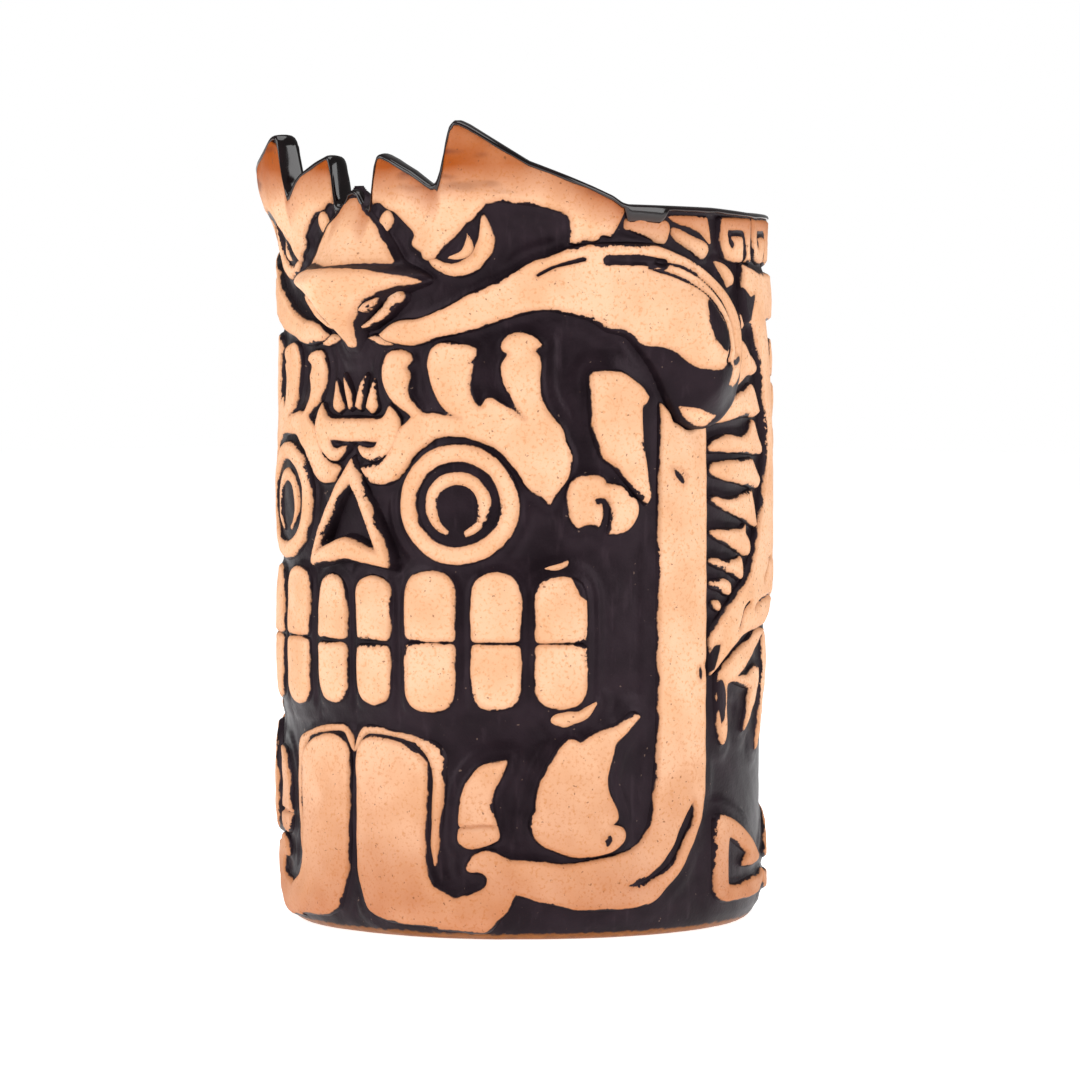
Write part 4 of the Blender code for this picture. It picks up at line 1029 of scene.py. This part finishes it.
def row_tree(block, finish):
    """A tree that sets realised copies of one block along a straight line."""
    tree = bpy.data.node_groups.new("block_row", "GeometryNodeTree")
    for name, kind, value in (("Count", "NodeSocketInt", 2), ("Pitch", "NodeSocketFloat", 1.0)):
        tree.interface.new_socket(name, in_out="INPUT", socket_type=kind).default_value = value
    tree.interface.new_socket("Geometry", in_out="OUTPUT", socket_type="NodeSocketGeometry")
    given = add(tree, "NodeGroupInput")
    step = add(tree, "ShaderNodeCombineXYZ", {"X": given.outputs["Pitch"]})
    line = add(tree, "GeometryNodeMeshLine", {"Count": given.outputs["Count"], "Offset": step})
    source = add(tree, "GeometryNodeObjectInfo", {"Object": block})
    copies = {"Points": line, "Instance": source.outputs["Geometry"]}
    placed = add(tree, "GeometryNodeInstanceOnPoints", copies)
    real = add(tree, "GeometryNodeRealizeInstances", {"Geometry": placed})
    finished = add(tree, "GeometryNodeSetMaterial", {"Geometry": real, "Material": finish})
    add(tree, "NodeGroupOutput", {"Geometry": finished})
    return tree


def run_row(tree, count, pitch):
    """The plain mesh that the tree makes for these sizes."""
    holder = bpy.data.objects.new("row_holder", bpy.data.meshes.new("row_holder"))
    bpy.context.scene.collection.objects.link(holder)
    modifier = holder.modifiers.new("row", "NODES")
    modifier.node_group = tree
    sizes = {"Count": count, "Pitch": pitch}
    for item in tree.interface.items_tree:
        if item.in_out == "INPUT":
            modifier[item.identifier] = sizes[item.name]
    graph = bpy.context.evaluated_depsgraph_get()
    mesh = bpy.data.meshes.new_from_object(holder.evaluated_get(graph))
    bpy.data.objects.remove(holder)
    return mesh


block_mesh = flat_slab("fret_block", [FRET_OUTLINE], grooves=FRET_GROOVES, top=1.3)
fret_block = bpy.data.objects.new("fret_block", block_mesh)
bpy.context.scene.collection.objects.link(fret_block)
row = run_row(row_tree(fret_block, wiped_stoneware), FRET_BLOCKS, FRET_PITCH)
bpy.data.objects.remove(fret_block)
for vertex in row.vertices:
    vertex.co.x += FRET_START + FRET_GAP / 2
rim_blocks = place_piece("rim_blocks", wrap(row), wiped_stoneware, ["rim_block_band"])
print("rim blocks:", FRET_BLOCKS, "at a pitch of", round(FRET_PITCH, 2), "mm")

# %% Bars where the blocks meet the crown
CROWN_BARS = (
    ((51, 126.9, 1), (53, 127.2), (58, 127.0), (59.6, 126.4), (59.8, 125), (58.8, 122.9), (55.6, 124),
     (53, 124.8), (51, 125.6, 1)),
    ((60.6, 125.5), (65.3, 124), (69, 122.8), (69.4, 121.6), (67.6, 120.3), (65, 121.8), (61.1, 124)),
    ((59, 127.7, 1), (68.6, 127.6, 1), (69.4, 125.5), (70, 123.2, 1), (67, 125.2), (60.8, 126.9)),
)
for number, bar in enumerate(CROWN_BARS, 1):
    sprig_pair(f"crown_bar_{number}", [bar], in_cad=False, top=1.1)

# %% [markdown]
# ## The body
# The wall is one fine sheet wrapped into a tube, with its top row set to the rim line, then closed over the
# lip and down the inside. Beside each ornament the clay rises in a small fillet, as it does where a cast
# surface meets relief, so the wall needs the distance to every ornament.

# %% Distance to the relief
REACH = 4.0
ALL_FORMS = [
    HELMET_BROW, BROW_BEAD, NOSTRIL_WING, EYELID, HELMET_IRIS, LIP_FORM, SKULL_BROW, UPPER_FANG, EAR_CURL,
    JAW_BAND, BIG_FANG, SMALL_FANG, TONGUE, CHIN_LEAF, FEATHER_BAND, BACK_RIBBON, BACK_STRIP, EDGE_LEAF,
    SPIRAL, NEIGHBOUR, circle(EYE_CENTRE, EYE_RINGS[0][0]), *FEATHERS, *CROWN_BARS, *SNOUT_FORM,
    *(tooth(centre, width, low, high, True) for centre, width, _, high, low, _ in TEETH),
]


def nearest_relief(u, z):
    """Distance from places on the sheet to the nearest ornament's outline, as far as REACH."""
    side = from_front(u) + MIRROR_AXIS
    best = np.full(u.shape, REACH)
    for form in ALL_FORMS:
        loop = rounded(form, 3)
        near = (side > loop[:, 0].min() - REACH) & (side < loop[:, 0].max() + REACH)
        near &= (z > loop[:, 1].min() - REACH) & (z < loop[:, 1].max() + REACH)
        if near.any():
            best[near] = np.minimum(best[near], -inside_distance(side[near], z[near], loop))
    return best


print("fillets run beside", len(ALL_FORMS), "outlines")


# %% Solids of stacked rings
def ring_faces(rows, columns):
    """Quads of a sheet that closes on itself, row by row."""
    j, i = (axis.ravel() for axis in np.meshgrid(np.arange(rows - 1), np.arange(columns), indexing="ij"))
    here, after = j * columns + i, j * columns + (i + 1) % columns
    return np.stack([here, after, after + columns, here + columns], 1)


def closed_rings(name, rings, fields):
    """A solid of stacked rings, with its two ends closed by a point on the axis."""
    rows, columns = len(rings), len(rings[0])
    points = np.concatenate(rings + [[[0, 0, rings[0][0, 2]]], [[0, 0, rings[-1][0, 2]]]])
    faces = ring_faces(rows, columns).tolist()
    first, last = rows * columns, rows * columns + 1
    for i in range(columns):
        k = (i + 1) % columns
        faces.append((first, k, i))
        faces.append((last, (rows - 1) * columns + i, (rows - 1) * columns + k))
    mesh = bpy.data.meshes.new(name)
    mesh.from_pydata(points.tolist(), [], faces)
    for field, values in fields.items():
        store(mesh, field, np.concatenate([*values, [values[0][0], values[-1][0]]]))
    mesh.shade_smooth()
    mesh.update()
    return mesh


# %% [markdown]
# ### Columns round the wall
# The wall, its lip and the glaze all share one set of columns, so they follow the same crown without gaps.
# The columns stand closest under the crown, where the rim climbs steeply from one to the next.

# %% Columns and lip
COLUMNS = 480
CROWDING = ((24, 3.0), (53, 2.0))
LIP_ZONE_BASE = 118
LIP_LIFT = ((0, 0.9), (2.6, 0.9), (4.2, 1.1), (48.5, 1.1), (50.5, 1.0), (140, 1.1))


def spread_columns():
    """Places round the sheet, closest together under the crown, where the rim is steepest."""
    fine = np.linspace(-HALF_TURN, HALF_TURN, 4001)
    crowding = np.ones_like(fine)
    for reach, times in reversed(CROWDING):
        crowding[np.abs(fine) < reach] = times
    total = np.concatenate([[0], np.cumsum((crowding[1:] + crowding[:-1]) / 2)])
    return np.interp((np.arange(COLUMNS) + 0.5) / COLUMNS * total[-1], total, fine)


around = spread_columns()
rim = rim_height(around)
stretch = rim_steepness(around)
lip_lift_here = np.interp(from_front(around), *zip(*LIP_LIFT))


def cup_ring(offset, drop=None, height=None, share=None):
    """A ring of the lip's section: out from the bare wall, and down from the rim, at a height or part way."""
    if height is not None:
        level = np.full(COLUMNS, float(height))
    elif share is not None:
        level = rim - share * (rim - LIP_ZONE_BASE)
    else:
        level = rim - drop * stretch
    radius = WALL_RADIUS + flare(around, level) + offset
    turn = around / SHEET_RADIUS
    return np.stack([radius * np.sin(turn), -radius * np.cos(turn), level], axis=1) * MM


print("columns round the wall:", COLUMNS, "from", round(float(np.diff(around).min()), 2), "mm apart")

# %% The outer wall
WALL_ROWS = 144
CROWN_ROWS = 36
CROWN_BASE = 117.0
FOOT_ROWS = (0, 0.2, 0.5, 0.9, 1.5, 2.2, 3.1, 4.2, 5.4)
FILLET, FILLET_RIPPLE = 0.7, 0.32


def outer_wall():
    """Rings of the outer wall, from the foot to just under the lip, and their heights."""
    low = np.concatenate([FOOT_ROWS, np.linspace(6.6, CROWN_BASE, WALL_ROWS)])
    rings, levels = [], []
    for step in range(len(low) + CROWN_ROWS):
        if step < len(low):
            level = np.full(COLUMNS, low[step])
        else:
            share = (step - len(low) + 1) / CROWN_ROWS
            level = CROWN_BASE + share * (rim - 0.7 * stretch - CROWN_BASE)
        away = nearest_relief(around, level)
        collar = (lip_lift_here - 0.15) * (1 - soft_step((rim - level) / stretch, 0.8, 2.0))
        fillet = FILLET * np.exp(-np.maximum(away - 0.6, 0) / 1.0)
        fillet = fillet + FILLET_RIPPLE * np.exp(-(((away - 2.4) / 0.7) ** 2))
        lift = np.maximum(fillet, collar) + 0.6 * unevenness(around, level)
        rings.append(on_wall(around, level, lift))
        levels.append(level)
    return rings, levels


# %% The cast body
STAINED = -4.0
FAR_BELOW_RIM = 60.0


def make_body():
    """The outer wall, closed over the lip, down the inside and under the foot."""
    rings, levels = outer_wall()
    lip = [cup_ring(0.6, 0.5), cup_ring(-2.0, 0.5), cup_ring(-2.6, share=0.15), cup_ring(-3.6, share=0.6)]
    inside = [cup_ring(-WALL_THICKNESS, height=level) for level in (LIP_ZONE_BASE, 60, 12)]
    inside += [cup_ring(-WALL_THICKNESS - 4, height=7.2), cup_ring(20 - WALL_RADIUS, height=6)]
    base = cup_ring(8 - WALL_RADIUS, height=0)
    everything = [base] + rings + lip + inside
    bare = [np.full(COLUMNS, STAINED)] * len(everything)
    below = [np.full(COLUMNS, FAR_BELOW_RIM)] + [rim - level for level in levels]
    below += [np.zeros(COLUMNS)] * (len(lip) + len(inside))
    return closed_rings("cast_body_wall", everything, {"bare": bare, "below_rim": below})


body = place_piece("cast_body_wall", make_body(), wiped_stoneware, ["cast_body"])
print("wall faces:", len(body.data.polygons))

# %% [markdown]
# ## The glaze
# The glaze coats the inside, rolls over the lip and stops in a slightly uneven line on the outside. It is a
# closed thin skin that lies just proud of the clay, made of stacked rings as the wall is. Each ring is given
# by how far out it lies from the bare wall and how far down from the rim.

# %% The glaze skin
GLAZE_OUT = 0.22
GLAZE_IN = -4.85
FLOOR_REACH = 14


def make_glaze():
    """The outer face, from its skirt over the lip to the middle of the floor, and an under face within it."""
    side = from_front(around)
    wander = 0.08 * np.sin(around * 0.9) * np.sin(around * 0.23 + 1)
    wander = wander + 2.2 * soft_step(side, 49.4, 50.6) * (1 - soft_step(side, 57, 58.5))
    out = lip_lift_here + GLAZE_OUT
    section = ((out - 0.3, 0.85 + wander, 0.0), (out - 0.06, 0.8 + wander, 0.1),
               (out, 0.7 + 0.7 * wander, 0.5), (out, 0.5, 1), (out - 0.18, 0.2, 1), (out - 0.6, 0.0, 1),
               (-0.1, -0.12, 1), (-1.1, -0.12, 1), (-2.0, 0.02, 1), (-2.6, 0.35, 1), (-3.0, 0.9, 1))
    skin = [cup_ring(offset, drop=drop) for offset, drop, _ in section]
    for offset, share in ((-3.25, 0.18), (-3.7, 0.34), (-4.2, 0.55), (-4.6, 0.78)):
        skin.append(cup_ring(offset, share=share))
    for level in (117, 100, 80, 60, 40, 20, 12.5):
        skin.append(cup_ring(GLAZE_IN, height=level))
    for turn in np.linspace(0.2, 1.0, 5) * math.pi / 2:
        level = FLOOR_TOP + INSIDE_ROUNDING * (1 - math.sin(turn))
        skin.append(cup_ring(GLAZE_IN - INSIDE_ROUNDING * (1 - math.cos(turn)), height=level))
    skin.append(cup_ring(FLOOR_REACH - WALL_RADIUS, height=FLOOR_TOP - 0.15))
    under = [cup_ring(FLOOR_REACH - WALL_RADIUS, height=FLOOR_TOP - 0.6)]
    under += [cup_ring(-4.5, height=level) for level in (14, 60, 116)]
    under += [cup_ring(-3.6, share=0.5), cup_ring(-2.5, share=0.14), cup_ring(-2.0, drop=0.4)]
    under += [cup_ring(0.5, drop=0.4), cup_ring(out - 0.6, drop=1.0)]
    thick = [np.ones(COLUMNS)]
    skirt = thick * len(under) + [np.full(COLUMNS, float(thin)) for _, _, thin in section]
    skirt += thick * (len(skin) - len(section))
    return closed_rings("glaze_skin", under + skin, {"skirt": skirt})


glaze = place_piece("glaze_skin", make_glaze(), poured_glaze, ["glaze_liner"])
print("glaze faces:", len(glaze.data.polygons))

# %% [markdown]
# ## Floor, light and camera
# White paper lit from below gives a clean pale floor. A big soft box on each side and one overhead give the
# broad, gentle highlights of a pottery studio. The world behind is blown out to white for the camera and
# lights the mug less than it looks. The camera stands to the mug's front right, level with its upper third.

# %% Floor
bpy.ops.mesh.primitive_plane_add(size=6)
floor = bpy.context.object
floor.name = "floor"
paper, paper_tree, paper_place = new_finish("lit_paper")
fibres = add(paper_tree, "ShaderNodeTexNoise", {"Vector": paper_place, "Scale": 1000 / 0.4, "Detail": 2})
fibre_bump = add(paper_tree, "ShaderNodeBump", {"Height": fibres, "Strength": 0.1, "Distance": 0.00002})
paper_parts = {"Base Color": "F4F4F4", "Roughness": 0.7, "Normal": fibre_bump}
paper_parts |= {"Emission Color": "FFFFFF", "Emission Strength": 0.8}
paper_shader = add(paper_tree, "ShaderNodeBsdfPrincipled", paper_parts)
add(paper_tree, "ShaderNodeOutputMaterial", {"Surface": paper_shader})
floor.data.materials.append(paper)
print("floor, in metres:", round(floor.dimensions.x, 1), "across")

# %% Light
world = bpy.data.worlds.new("studio")
bpy.context.scene.world = world
world.use_nodes = True
world.node_tree.nodes.clear()
seen = add(world.node_tree, "ShaderNodeLightPath").outputs["Is Camera Ray"]
strength = add(world.node_tree, "ShaderNodeMapRange", {"Value": seen, "To Min": 0.22, "To Max": 1.0})
backdrop = add(world.node_tree, "ShaderNodeBackground", {"Color": "FFFFFF", "Strength": strength})
add(world.node_tree, "ShaderNodeOutputWorld", {"Surface": backdrop})


def soft_box(name, turn, away, height, size, power):
    """A square soft box that faces the mug, at a bearing in degrees from the front."""
    light = bpy.data.lights.new(name, "AREA")
    light.size = size
    light.energy = power
    lamp = bpy.data.objects.new(name, light)
    lamp.location = (away * math.sin(math.radians(turn)), -away * math.cos(math.radians(turn)), height)
    lamp.rotation_euler = (Vector((0, 0, 0.07)) - lamp.location).to_track_quat("-Z", "Y").to_euler()
    bpy.context.scene.collection.objects.link(lamp)


soft_box("left_box", turn=-18, away=1.0, height=0.5, size=0.7, power=7.0)
soft_box("right_box", turn=102, away=1.0, height=0.4, size=0.6, power=5.4)
soft_box("top_box", turn=43, away=0.25, height=1.2, size=0.8, power=7.5)
print("soft boxes:", len(bpy.data.lights))

# %% Camera
CAMERA_TURN = math.radians(44.1)
CAMERA_DISTANCE = 0.95
CAMERA_HEIGHT = 0.1066
AIM_HEIGHT, AIM_RIGHT = 0.0691, 0.0031
right, back = math.cos(CAMERA_TURN), math.sin(CAMERA_TURN)
camera = bpy.data.objects.new("camera", bpy.data.cameras.new("camera"))
bpy.context.scene.collection.objects.link(camera)
camera.data.lens = 172.3
camera.data.sensor_width = 36
camera.data.clip_start = 0.01
camera.location = (CAMERA_DISTANCE * back, -CAMERA_DISTANCE * right, CAMERA_HEIGHT)
aim = Vector((AIM_RIGHT * right, AIM_RIGHT * back, AIM_HEIGHT))
camera.rotation_euler = (aim - camera.location).to_track_quat("-Z", "Y").to_euler()
bpy.context.scene.camera = camera
bpy.context.scene.view_settings.view_transform = "Standard"
print("camera bearing, in degrees right of the front:", round(math.degrees(CAMERA_TURN), 1))
